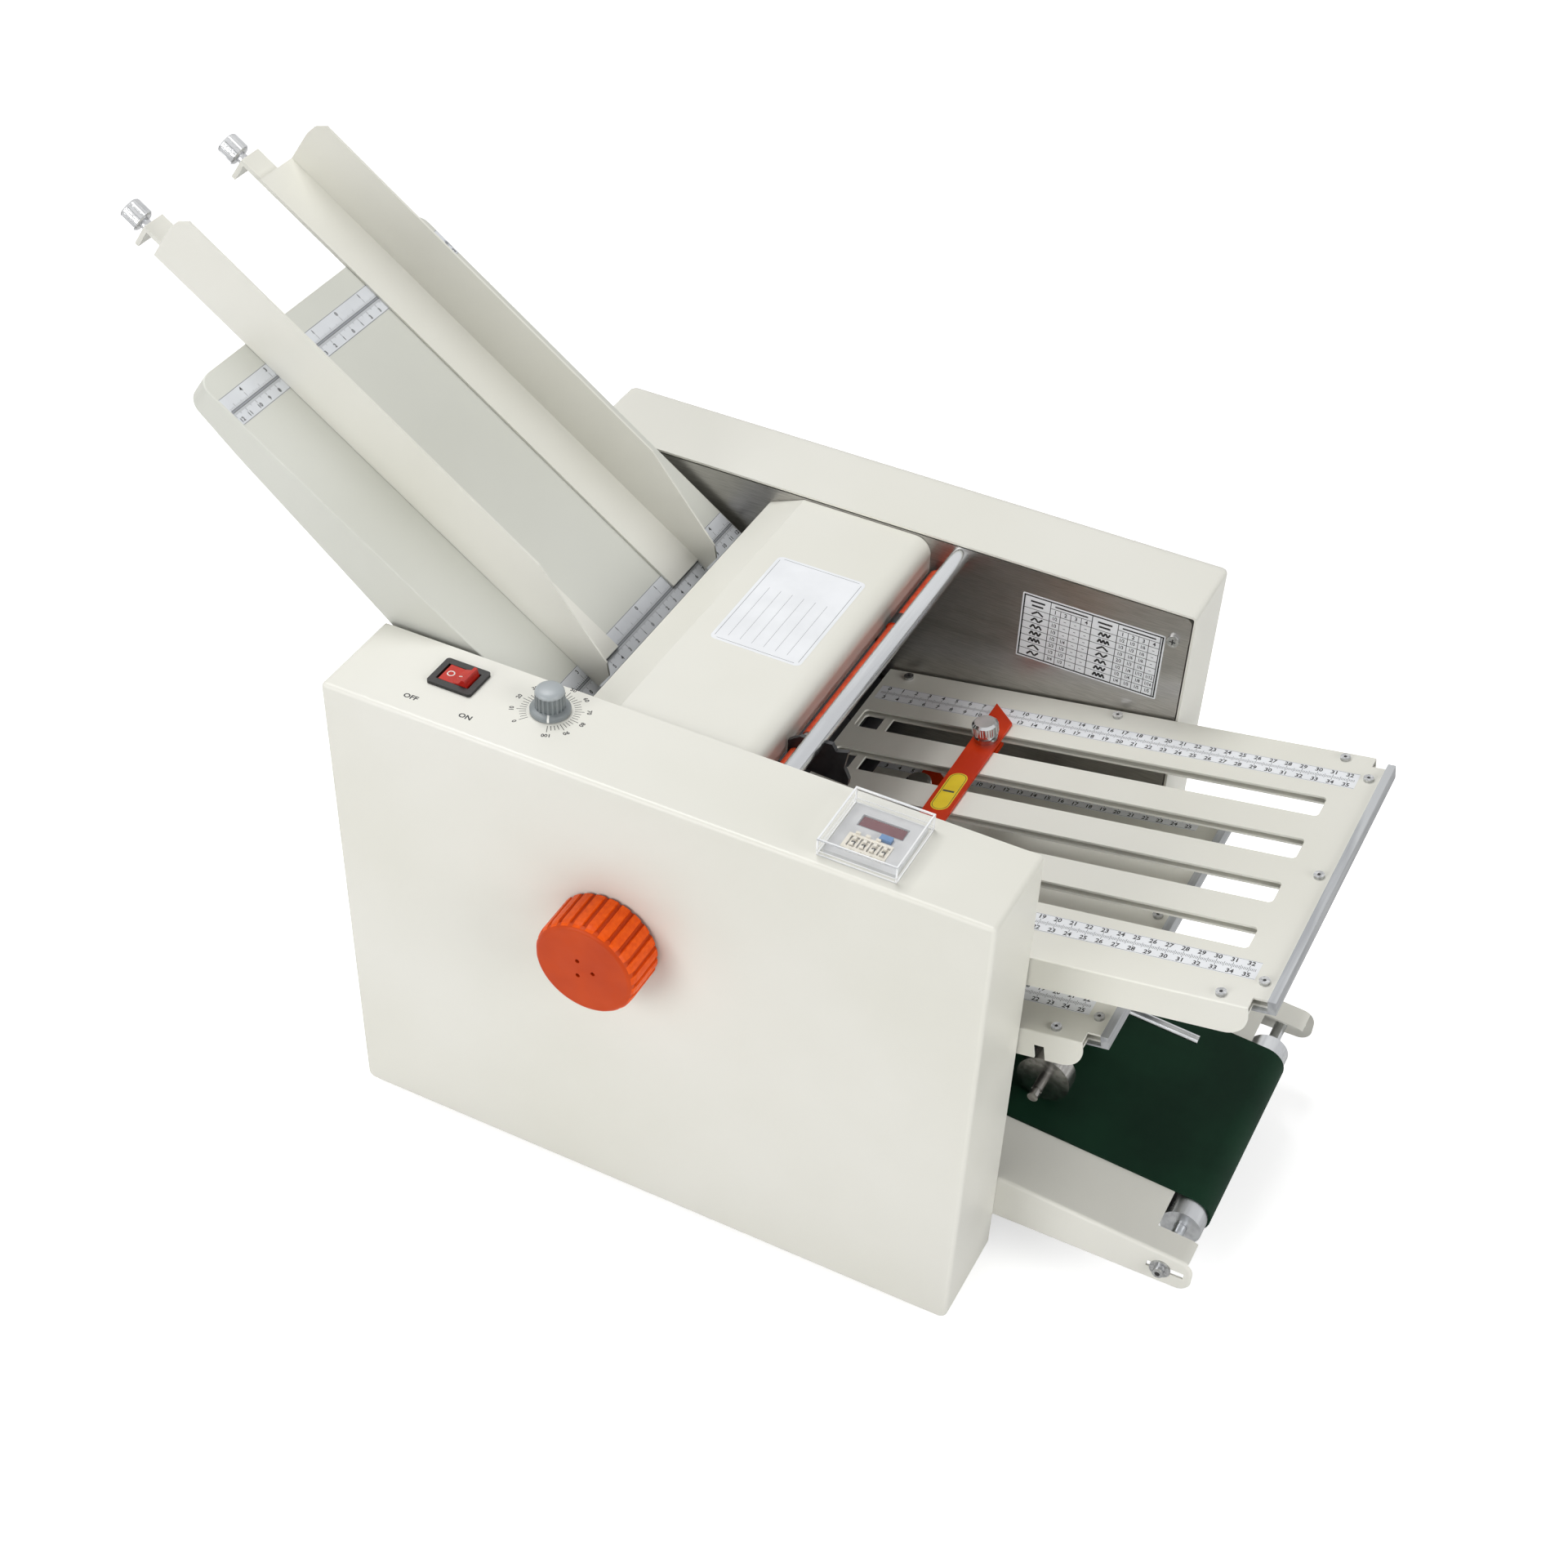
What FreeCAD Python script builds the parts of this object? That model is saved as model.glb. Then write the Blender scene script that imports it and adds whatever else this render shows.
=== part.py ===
import FreeCAD, Part
import Sketcher
import math
import os
import re

# Paper folding machine: a desk machine that buckle-folds sheets in four trays.
# Millimetres, +Z up, floor at Z 0. The paper runs towards +X, the operator's side is -Y.

V = FreeCAD.Vector
doc = FreeCAD.newDocument("paper_folding_machine")
sheet = doc.addObject("Spreadsheet::Sheet", "Sizes")
names = {}
nodes = []

sizes = {
    # housing
    "base_z": 8,
    "cover_long": 444,
    "cover_high": 352,
    "front_deep": 69.25,
    "rear_deep": 66.65,
    "inner_gap": 253,
    "cover_wall": 1.5,
    "cover_edge_r": 3,
    "cover_foot_r": 6,
    "rear_edge_r": 9,
    "pan_t": 2,
    "pan_inset": 6,
    "plate_t": 4,
    "plate_gap": 0.9,
    "plate_corner_r": 5,
    "lug_long": 16,
    "lug_high": 14,
    "lug_deep": 12,
    "lug_inset": 11,
    "lug_top": 21.7,
    "lug_low": 27,
    "fit_gap": 0.3,
    "foot_r": 12,
    "foot_inset": 32,
    "foot_y": 110,
    "foot_bore_r": 2.5,
    # cover screws and tie rods
    "screw_r": 2,
    "screw_head_r": 4.2,
    "screw_head_t": 2.4,
    "rod_r": 6,
    "rod_x": 59,
    "rod_z": 350.9,
    "left_rod_x": -45,
    "low_rod_x": -150,
    "low_rod_z": 30,
    "right_rod_x": 150,
    # guide bar beside the top cover
    "bar_x": 46.5,
    "bar_z": 333,
    "bar_r": 5.4,
    "bar_core_r": 3.5,
    "bar_collar_r": 6.4,
    "bar_collar_y": 54,
    "bar_collar_long": 12,
    "bar_clamp_y": -82,
    "bar_clamp_long": 13,
    # top cover
    "top_t": 1.5,
    "top_left_x": -80.5,
    "top_left_z": 346.4,
    "top_ridge_x": -55.4,
    "top_z": 356.6,
    "top_right_x": 38.3,
    "top_right_z": 331.7,
    "top_bend_r": 12,
    # column of fold rollers
    "tray_tilt": 9.73,
    "column_x": -5,
    "column_z": 250.6,
    "pitch": 29.5,
    "roller_gap": 0.15,
    "roller_side_gap": 2.5,
    "groove_wide": 6,
    "groove_deep": 0.6,
    "groove_step": 24,
    "shaft_r": 5,
    "shaft_run": 0.05,
    "bearing_r": 9,
    "bearing_lip": 1,
    "bearing_lip_t": 0.8,
    "gear_off": 3.75,
    "gear_t": 10,
    "gear_teeth": 20,
    "gear_add": 1.15,
    "gear_ded": 1.6,
    "space_root": 0.85,
    "space_tip": 1.85,
    "belt_off": 18,
    "belt_t": 7,
    "belt_thick": 1.5,
    "belt_gap": 0.05,
    "pulley_r": 11,
    "pulley_lip": 1.6,
    "pulley_lip_t": 1.5,
    "motor_off": 30.5,
    "motor_x": -112,
    "motor_z": 50,
    "motor_r": 28,
    "motor_long": 100,
    "motor_shaft_r": 4,
    # feed table
    "feed_x": -318.3,
    "feed_z": 471.1,
    "feed_tilt": 35,
    "feed_top": -34.7,
    "feed_end": 290,
    "feed_gap": 5,
    "feed_t": 1.5,
    "feed_corner_r": 10,
    "flange_top": 19,
    "flange_mid": 24,
    "flange_mid_s": 10,
    "flange_low": 40,
    "flange_low_s": 170,
    "flange_end": 34,
    "feed_end_flange": 16,
    "feed_bend_r": 1,
    "clamp_slot_in": 17.5,
    "clamp_slot_high": 5.4,
    "stud_s": 235,
    "stud_step": 40,
    "stud_drop": 18,
    "stud_r": 6,
    "stud_head_r": 4.5,
    "stud_head_t": 2.5,
    "stud_shank_r": 2.5,
    # side guides
    "guide_y": 71,
    "guide_t": 1.5,
    "guide_floor": 34,
    "guide_top_s": -110,
    "guide_tip_s": 266,
    "guide_high": 43,
    "guide_kink_s": 187,
    "guide_kink_high": 42,
    "guide_tip_high": 21,
    "guide_tip_in": 7,
    "guide_top_in": 8,
    "clamp_off": 21,
    "rail_wide": 18,
    "rail_t": 3,
    "rail_low_s": 180,
    "bridge_long": 10,
    "lug_s": -128,
    "lug_t": 3,
    "lug_drop": 19,
    "clamp_drop": 9.2,
    "clamp_r": 2.4,
    "clamp_run": 0.1,
    "knurl_r": 7.7,
    "knurl_long": 13,
    "knurl_neck_r": 3.6,
    "knurl_neck_long": 4,
    # feed roller and chute
    "feed_roll_x": -57,
    "feed_roll_z": 313,
    "feed_roll_r": 20,
    "feed_shaft_r": 6,
    "tyre_wide": 30,
    "tyre_step": 62,
    "pad_wide": 36,
    "pad_s": 299,
    "pad_long": 13,
    "pad_t": 6,
    "chute_t": 1.2,
    "chute_gap": 2,
    "chute_start": 2,
    "chute_stop": 26,
    "hood_start": 10,
    "hood_stop": 60,
    # hand crank
    "hand_angle": 140.6,
    "hand_off": 10.25,
    "hand_r": 5,
    "hand_bush_r": 8,
    "knob_r": 33.5,
    "knob_long": 32.4,
    "knob_gap": 1,
    "knob_flutes": 24,
    "knob_flute_r": 1.3,
    "knob_edge_r": 3,
    "knob_hole_r": 1.5,
    "knob_hole_ring": 7,
    # trays
    "tray_side_gap": 1.5,
    "tray_t": 1.5,
    "tray_gap": 1.5,
    "tray_start": 20.6,
    "tray_flange": 22.5,
    "slot_wide": 20,
    "slot_step": 44,
    "slot_r": 3,
    "boss_r": 4.5,
    "edge_screw_r": 1.6,
    "edge_head_r": 3.3,
    "edge_head_t": 2,
    "edge_screw_in": 7,
    "tray_corner_r": 15,
    "tab_in": 10,
    "tab_long": 9,
    "strip_in": 7,
    "end_screw_in": 14,
    "end_screw_off": 2,
    "strip_t": 5,
    "strip_high": 10,
    "strip_leg": 18,
    "stay_r": 5,
    "stay_in": 7,
    "tray_one_zero": 30.6,
    "tray_one_long": 330,
    "tray_last": 18,
    "tray_one_slot": 313.5,
    "tray_three_zero": 26.9,
    "tray_three_long": 231,
    "tray_three_slot": 214,
    "tray_two_zero": 26.9,
    "tray_two_long": 180,
    "tray_two_slot": 166,
    "tray_four_zero": 26.9,
    "tray_four_long": 150,
    "tray_four_slot": 136,
    "slot_web": 4,
    "short_slot": 18.3,
    "long_slot": 24.3,
    "screw_first": 7,
    "screw_one_mid": 159,
    "screw_one_far": 312,
    "screw_two_far": 155,
    "screw_three_mid": 110,
    "screw_three_far": 212,
    "screw_four_far": 125,
    "stay_near": 60,
    "stay_far": 185,
    "stay_two": 170,
    "stay_four": 140,
    "hook_s": 199,
    "hook_long": 7,
    "hook_deep": 11,
    # tray stop bars
    "stop_wide": 18.5,
    "stop_t": 2,
    "stop_half": 105.3,
    "stop_cut": 17.8,
    "stop_one": 78,
    "stop_three": 28,
    "stop_two": 60,
    "stop_four": 45,
    "finger_wide": 16,
    "finger_t": 4,
    "finger_drop": 7.5,
    "stop_screw_r": 8.6,
    "stop_screw_high": 14,
    "stop_screw_neck": 5,
    "stop_stem_r": 2.5,
    # conveyor
    "drive_x": 54,
    "drive_z": 77,
    "idler_x": 337,
    "idler_z": 54.5,
    "conv_r": 14,
    "conv_roll_half": 89,
    "belt_half": 75,
    "conv_belt_t": 1.5,
    "skirt_t": 1.5,
    "skirt_low": 40,
    "skirt_left": 66,
    "skirt_right": 358,
    "skirt_end_r": 10,
    "skirt_bend_r": 2.5,
    "screw_near_x": 100,
    "screw_far_x": 190,
    "screw_rise": 14,
    "deck_gap": 0.2,
    "notch_x": 326,
    "notch_gap": 17,
    "left_notch_x": 76,
    "slide_left": 327.5,
    "slide_right": 352.5,
    "slide_high": 5,
    "idler_shaft_r": 4.25,
    "idler_run": 0.1,
    "washer_r": 7,
    "washer_t": 1.5,
    # press arm
    "arm_rod_r": 3,
    "arm_rod_rise": 74.3,
    "arm_rod_start": 16,
    "arm_rod_end": 246,
    "cross_r": 6,
    "arm_at": 164,
    "axle_r": 3.7,
    "axle_half": 69,
    "wheel_r": 18.5,
    "wheel_wide": 12,
    "wheel_y": 45,
    "arm_block": 16,
    "arm_block_wide": 22,
    "arm_leg": 10,
    "arm_run": 0.05,
    # switch, speed dial and counter
    "bezel_inset": 70.8,
    "bezel_in": 25.1,
    "bezel_long": 31,
    "bezel_wide": 25.3,
    "bezel_t": 2.2,
    "rocker_long": 21.5,
    "rocker_wide": 15,
    "rocker_deep": 11,
    "switch_deep": 22,
    "pivot_r": 1.5,
    "pivot_deep": 4,
    "pivot_long": 1.3,
    "dial_inset": 134.5,
    "dial_in": 24,
    "dial_skirt_r": 16,
    "dial_skirt_t": 3.5,
    "dial_r": 11.2,
    "dial_high": 21,
    "dial_ribs": 24,
    "dial_stem_r": 3,
    "pot_r": 9,
    "pot_deep": 12,
    "counter_inset": 89,
    "counter_in": 35.5,
    "counter_wide": 45,
    "counter_long": 45,
    "counter_lip": 2.5,
    "counter_body_deep": 50,
    "lid_high": 12,
    "lid_wall": 1.6,
    "key_x": 6,
    "key_y": 1,
    "key_long": 7.5,
    "key_wide": 4.2,
    "key_high": 2,
    "preset_step": 6.3,
    "board_long": 120,
    "board_high": 70,
    "board_t": 1.6,
    "board_inset": 182,
    "board_z": 90,
    "chip_high": 12,
    "post_r": 3,
    "inlet_in": 33.5,
    "inlet_z": 45,
    "inlet_wide": 31,
    "inlet_high": 24,
    "inlet_lip": 4,
    "inlet_deep": 26,
    "inlet_pin": 4,
}
for row, (name, value) in enumerate(sizes.items(), 1):
    sheet.set("A%d" % row, name)
    sheet.set("B%d" % row, str(value))
    sheet.setAlias("B%d" % row, name)
    names[name] = row
doc.recompute()

# What fits between the side plates or on the covers follows from their sizes and a clearance
follows = {
    "foot_x": "(cover_long/2 - foot_inset)",
    "bezel_x": "-(cover_long/2 - bezel_inset)",
    "dial_x": "-(cover_long/2 - dial_inset)",
    "counter_x": "(cover_long/2 - counter_inset)",
    "board_x": "(cover_long/2 - board_inset)",
    "roller_half": "(inner_gap/2 - roller_side_gap)",
    "feed_half": "(inner_gap/2 - feed_gap)",
    "clamp_slot_half": "(feed_half - clamp_slot_in)",
    "chute_half": "(inner_gap/2 - fit_gap)",
    "skirt_half": "(inner_gap/2 - fit_gap)",
    "notch_half": "(conv_roll_half + notch_gap)",
    "tray_half": "(inner_gap/2 - tray_side_gap)",
    "edge_screw_y": "(tray_half - edge_screw_in)",
    "tab_half": "(tray_half - tab_in)",
    "strip_half": "(tray_half - strip_in)",
    "end_screw_y": "(tab_half - end_screw_in)",
    "gear_y": "(inner_gap/2 + plate_t + gear_off)",
    "hand_y": "(inner_gap/2 + plate_t + hand_off)",
    "belt_y": "(inner_gap/2 + plate_t + belt_off)",
    "motor_y": "(inner_gap/2 + plate_t + motor_off)",
    "bezel_y": "-(inner_gap/2 + bezel_in)",
    "dial_y": "-(inner_gap/2 + dial_in)",
    "counter_y": "-(inner_gap/2 + counter_in)",
    "inlet_y": "-(inner_gap/2 + inlet_in)",
}


def ex(text):
    """Turn size names into references to the table, and what follows from them into formulas."""
    def word(found):
        name = found.group(0)
        if name in follows:
            return ex(follows[name])
        return "Sizes." + name if name in names else name
    return re.sub(r"[a-z][a-z_0-9]*", word, str(text))


def num(text):
    """The present value of an expression."""
    return float(sheet.evalExpression(re.sub(r"Sizes\.", "", ex(text))))


def bind(obj, **values):
    for prop, text in values.items():
        obj.setExpression(prop, ex(text))
    return obj


TURN = {"X": (V(0, 1, 0), 90), "Y": (V(1, 0, 0), -90), "Z": (V(0, 0, 1), 0)}


def place(obj, at, turn=None):
    """Bind an object's place; turn is an angle in the XZ plane, downwards to the right."""
    if turn is not None:
        obj.Placement = FreeCAD.Placement(V(0, 0, 0), FreeCAD.Rotation(V(0, 1, 0), 1))
        obj.setExpression("Placement.Rotation.Angle", ex(turn))
    for axis, text in zip("xyz", at):
        obj.setExpression("Placement.Base." + axis, ex(text))
    return obj


def box(name, at, dims):
    obj = doc.addObject("Part::Box", name)
    bind(obj, Length=dims[0], Width=dims[1], Height=dims[2])
    return place(obj, at)


def rod(name, axis, at, radius, length):
    obj = doc.addObject("Part::Cylinder", name)
    bind(obj, Radius=radius, Height=length)
    obj.Placement = FreeCAD.Placement(V(0, 0, 0), FreeCAD.Rotation(*TURN[axis]))
    return place(obj, at)


def fuse(name, parts):
    obj = doc.addObject("Part::MultiFuse", name)
    obj.Shapes = parts
    return obj


def cut(name, base, tools):
    obj = doc.addObject("Part::Cut", name)
    obj.Base = base
    obj.Tool = tools[0] if len(tools) == 1 else fuse(name + "_tool", tools)
    return obj


def group(name, parts):
    obj = doc.addObject("Part::Compound", name)
    obj.Links = parts
    return obj


def body(name):
    return doc.addObject("PartDesign::Body", name)


def sketch(owner, plane, lift=None, spin=None):
    """A sketch on one of the body's own planes, lifted along its normal or turned in it."""
    sk = owner.newObject("Sketcher::SketchObject", owner.Name + "_sketch")
    sk.AttachmentSupport = ([f for f in owner.Origin.OriginFeatures if f.Role == plane][0], "")
    sk.MapMode = "FlatFace"
    if spin is not None:
        sk.AttachmentOffset = FreeCAD.Placement(V(0, 0, 0), FreeCAD.Rotation(V(0, 0, 1), 1))
        sk.setExpression("AttachmentOffset.Rotation.Angle", ex(spin))
    if lift is not None:
        sk.setExpression("AttachmentOffset.Base.z", ex(lift))
    return sk


def outline(sk, points):
    """A closed loop of lines whose corners are bound to the table."""
    count = len(points)
    first = sk.GeometryCount
    at = [V(num(a), num(b), 0) for a, b in points]
    for i in range(count):
        sk.addGeometry(Part.LineSegment(at[i], at[(i + 1) % count]), False)
    for i in range(count):
        sk.addConstraint(Sketcher.Constraint("Coincident", first + i, 2, first + (i + 1) % count, 1))
    for i, corner in enumerate(points):
        for kind, text, value in zip(("DistanceX", "DistanceY"), corner, at[i]):
            made = sk.addConstraint(Sketcher.Constraint(kind, -1, 1, first + i, 1, value))
            sk.setExpression("Constraints[%d]" % made, ex(text))


def circle(sk, a, b, radius):
    first = sk.addGeometry(Part.Circle(V(num(a), num(b), 0), V(0, 0, 1), num(radius)), False)
    for kind, text in (("DistanceX", a), ("DistanceY", b)):
        made = sk.addConstraint(Sketcher.Constraint(kind, -1, 1, first, 3, num(text)))
        sk.setExpression("Constraints[%d]" % made, ex(text))
    made = sk.addConstraint(Sketcher.Constraint("Radius", first, num(radius)))
    sk.setExpression("Constraints[%d]" % made, ex(radius))


def rect(sk, a0, b0, a1, b1):
    outline(sk, [(a0, b0), (a1, b0), (a1, b1), (a0, b1)])


def pad(owner, sk, length, mid=False, back=False):
    made = owner.newObject("PartDesign::Pad", owner.Name + "_pad")
    made.Profile = sk
    bind(made, Length=length)
    made.Midplane = mid
    made.Reversed = back
    doc.recompute()
    return made


def pocket(owner, sk, length=None, back=False, mid=False):
    made = owner.newObject("PartDesign::Pocket", owner.Name + "_pocket")
    made.Profile = sk
    made.Reversed = back
    made.Midplane = mid or length is None
    if length is None:
        made.Type = 1
    else:
        bind(made, Length=length)
    before = owner.Shape.Volume
    doc.recompute()
    if owner.Shape.Volume > before - 1e-6:
        raise ValueError(owner.Name + ": a pocket cuts nothing")
    return made


def revolve(owner, sk, axis="H_Axis"):
    made = owner.newObject("PartDesign::Revolution", owner.Name + "_revolution")
    made.Profile = sk
    made.ReferenceAxis = (sk, [axis])
    made.Angle = 360
    doc.recompute()
    return made


def polar(owner, feature, sk, count):
    made = owner.newObject("PartDesign::PolarPattern", owner.Name + "_pattern")
    made.Originals = [feature]
    made.Axis = (sk, ["N_Axis"])
    made.Angle = 360
    bind(made, Occurrences=count)
    owner.Tip = made
    doc.recompute()
    return made


def soften(owner, radius, test):
    """Round the edges of the body that the test picks."""
    last = owner.Tip
    picked = ["Edge%d" % (i + 1) for i, e in enumerate(last.Shape.Edges) if test(e)]
    if not picked:
        raise ValueError(owner.Name + ": no edge to round")
    made = owner.newObject("PartDesign::Fillet", owner.Name + "_round")
    made.Base = (last, picked)
    bind(made, Radius=radius)
    owner.Tip = made
    doc.recompute()
    return made


def along(edge, axis):
    """True for a straight edge that runs along a main axis."""
    if edge.Degenerated or not isinstance(edge.Curve, (Part.Line, Part.LineSegment)):
        return False
    way = edge.tangentAt(edge.FirstParameter)
    return abs(getattr(way, axis)) > 0.999


def near(edge, **at):
    mid = edge.CenterOfMass
    return all(abs(getattr(mid, axis) - num(text)) < 0.05 for axis, text in at.items())


def node(name, obj):
    obj.Label = name
    nodes.append(obj)
    return obj


# Where things lie: the roller column, the trays' own frames, the feed table's frame, the belt's frame

def roller_at(i):
    return ("(column_x + %d*pitch*sin(tray_tilt))" % (i - 1), "(column_z - %d*pitch*cos(tray_tilt))" % (i - 1))


def nip_at(i):
    return ("(column_x + %.1f*pitch*sin(tray_tilt))" % (i - 0.5), "(column_z - %.1f*pitch*cos(tray_tilt))" % (i - 0.5))


def on_tray(i, s, n):
    x, z = nip_at(i)
    return ("(%s + (%s)*cos(tray_tilt) - (%s)*sin(tray_tilt))" % (x, s, n),
            "(%s + (%s)*sin(tray_tilt) + (%s)*cos(tray_tilt))" % (z, s, n))


def on_table(s, n):
    return ("(feed_x + (%s)*cos(feed_tilt) + (%s)*sin(feed_tilt))" % (s, n),
            "(feed_z - (%s)*sin(feed_tilt) + (%s)*cos(feed_tilt))" % (s, n))


FALL = "atan2(drive_z - idler_z; idler_x - drive_x)"


def on_belt(u, w):
    return ("(drive_x + (%s)*cos(%s) + (%s)*sin(%s))" % (u, FALL, w, FALL),
            "(drive_z - (%s)*sin(%s) + (%s)*cos(%s))" % (u, FALL, w, FALL))


HAND = ("(%s + pitch*cos(hand_angle))" % roller_at(2)[0], "(%s + pitch*sin(hand_angle))" % roller_at(2)[1])
INSIDE = "inner_gap/2"
OUTSIDE = "(inner_gap/2 + plate_t)"
PLATE_TOP = "(base_z + cover_high - cover_wall - plate_gap)"
PLATE_LOW = "(base_z + cover_wall + pan_t)"
COVER_SCREWS = [("%d*(cover_long/2 - cover_wall - lug_inset)" % side, at)
                for side in (-1, 1) for at in ("base_z + cover_high - lug_top", "base_z + lug_low")]
TIE_RODS = [("rod_x", "rod_z"), ("left_rod_x", "top_z - top_t - rod_r"), ("low_rod_x", "low_rod_z"),
            ("right_rod_x", "low_rod_z"), on_belt("arm_rod_start", "arm_rod_rise")]
STAYS = [(1, "stay_near"), (1, "stay_far"), (2, "-stay_near"), (2, "-stay_two"), (3, "stay_near"), (3, "stay_far"),
         (4, "-stay_near"), (4, "-stay_four")]
STUDS = [on_table("stud_s + %d*stud_step" % k, "-stud_drop") for k in (0, 1)]
FRAME_SCREWS = [("screw_near_x", "skirt_low + screw_rise"), ("screw_far_x", "skirt_low + screw_rise")]


# Base pan on four rubber feet

pan_front = "-(inner_gap/2 + front_deep - cover_wall - pan_inset)"
pan_back = "(inner_gap/2 + rear_deep - cover_wall - rear_edge_r)"
pan_side = "(cover_long/2 - cover_wall - pan_inset)"
pan_plate = box("pan_plate", ("-" + pan_side, pan_front, "base_z + cover_wall"),
                ("2*" + pan_side, pan_back + " - " + pan_front, "pan_t"))
lips = [box("pan_lip", (x, "-inner_gap/2 + fit_gap", "base_z + cover_wall"),
            ("pan_t", "inner_gap - 2*fit_gap", "10")) for x in ("-" + pan_side, pan_side + " - pan_t")]
feet = []
bores = []
for x in ("-foot_x", "foot_x"):
    for y in ("-foot_y", "foot_y"):
        whole = rod("foot_body", "Z", (x, y, "0"), "foot_r", "base_z + cover_wall")
        bore = rod("foot_bore", "Z", (x, y, "-1"), "foot_bore_r", "base_z + cover_wall + pan_t + 2")
        feet.append(cut("foot", whole, [bore]))
        bores.append(rod("pan_bore", "Z", (x, y, "0"), "foot_bore_r", "base_z + cover_wall + pan_t + 1"))
node("base_pan", cut("pan", fuse("pan_bent", [pan_plate] + lips), bores))
node("rubber_feet", group("feet", feet))


# Side plates: they carry every shaft, tray and rod

def side_plate(name, side):
    plate = body(name + "_blank")
    sk = sketch(plate, "XZ_Plane")
    reach = "(cover_long/2 - cover_wall - plate_gap)"
    rect(sk, "-" + reach, PLATE_LOW, reach, PLATE_TOP)
    pad(plate, sk, "plate_t", back=side > 0)
    soften(plate, "plate_corner_r", lambda e: along(e, "y"))
    holes = sketch(plate, "XZ_Plane")
    for i in range(1, 7):
        circle(holes, *roller_at(i), "bearing_r")
    circle(holes, "feed_roll_x", "feed_roll_z", "bearing_r + 1")
    circle(holes, "drive_x", "drive_z", "bearing_r")
    if side < 0:
        circle(holes, *HAND, "hand_bush_r")
    else:
        circle(holes, "motor_x", "motor_z", "bearing_r")
    for x, z in COVER_SCREWS + TIE_RODS + FRAME_SCREWS:
        circle(holes, x, z, "screw_r")
    for x, z in STUDS:
        circle(holes, x, z, "stud_shank_r")
    pocket(plate, holes)
    place(plate, ("0", "%d*inner_gap/2" % side, "0"))
    stays = []
    for tray, s in STAYS:
        x, z = on_tray(tray, s, "tray_gap + tray_t - tray_flange - stay_r")
        stays.append(rod("stay", "Y", (x, "inner_gap/2 - stay_in" if side > 0 else "-inner_gap/2", z), "stay_r", "stay_in"))
    node(name, fuse(name + "_welded", [plate] + stays))


side_plate("front_side_plate", -1)
side_plate("rear_side_plate", 1)


# Covers: bent sheet boxes, open towards the side plates

def cover_block(name, side, deep, edge_r, inset):
    """The rounded outline of a cover, or of the room in it when inset is the wall."""
    block = body(name)
    sk = sketch(block, "XZ_Plane")
    rect(sk, "-cover_long/2 + " + inset, "base_z + " + inset,
         "cover_long/2 - " + inset, "base_z + cover_high - " + inset)
    pad(block, sk, "%s - %s" % (deep, inset), back=side > 0)
    face = num("%s - %s" % (deep, inset)) * side
    middle = num("base_z + cover_high/2")
    soften(block, "cover_foot_r - " + inset, lambda e: along(e, "y") and e.CenterOfMass.z < middle)
    soften(block, "cover_edge_r - " + inset, lambda e: along(e, "y") and e.CenterOfMass.z > middle)
    soften(block, edge_r + " - " + inset, lambda e: abs(e.CenterOfMass.y - face) < 0.01 and e.BoundBox.YLength < 0.01)
    return place(block, ("0", "%d*inner_gap/2" % side, "0"))


def cover(name, side, deep, edge_r, tools):
    shell = cut(name + "_shell", cover_block(name + "_block", side, deep, edge_r, "0*cover_wall"),
                [cover_block(name + "_room", side, deep, edge_r, "cover_wall")])
    lugs = []
    for x, z in COVER_SCREWS:
        left = "-cover_long/2 + cover_wall/2" if x.startswith("-") else "cover_long/2 - cover_wall/2 - lug_long"
        lug = box("lug", (left, OUTSIDE if side > 0 else "-" + OUTSIDE + " - lug_deep", z + " - lug_high/2"),
                  ("lug_long", "lug_deep", "lug_high"))
        bore = rod("lug_bore", "Y", (x, OUTSIDE + " - 1" if side > 0 else "-" + OUTSIDE + " - 11", z), "screw_r", "12")
        lugs.append(cut("drilled_lug", lug, [bore]))
    welded = fuse(name + "_welded", [shell] + lugs)
    node(name, cut(name + "_cut", welded, tools) if tools else welded)


top_face = "(base_z + cover_high)"
front_face = "-(inner_gap/2 + front_deep)"
cover("front_cover", -1, "front_deep", "cover_edge_r", [
    rod("hand_hole", "Y", (HAND[0], front_face + " - 1", HAND[1]), "hand_r + fit_gap", "cover_wall + 2"),
    rod("dial_hole", "Z", ("dial_x", "dial_y", top_face + " - cover_wall - 1"), "dial_stem_r + fit_gap", "cover_wall + 2"),
    box("switch_hole", ("bezel_x - bezel_long/2 + 2", "bezel_y - bezel_wide/2 + 2", top_face + " - cover_wall - 1"),
        ("bezel_long - 4", "bezel_wide - 4", "cover_wall + 2")),
    box("counter_hole", ("counter_x - counter_long/2 + counter_lip", "counter_y - counter_wide/2 + counter_lip",
                         top_face + " - cover_wall - 1"),
        ("counter_long - 2*counter_lip", "counter_wide - 2*counter_lip", "cover_wall + 2")),
    box("inlet_hole", ("-cover_long/2 - 1", "inlet_y - inlet_wide/2", "inlet_z - inlet_high/2"),
        ("cover_wall + 2", "inlet_wide", "inlet_high"))])
cover("rear_cover", 1, "rear_deep", "rear_edge_r", [])


# Top cover between the side plates, over the fold rollers

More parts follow.
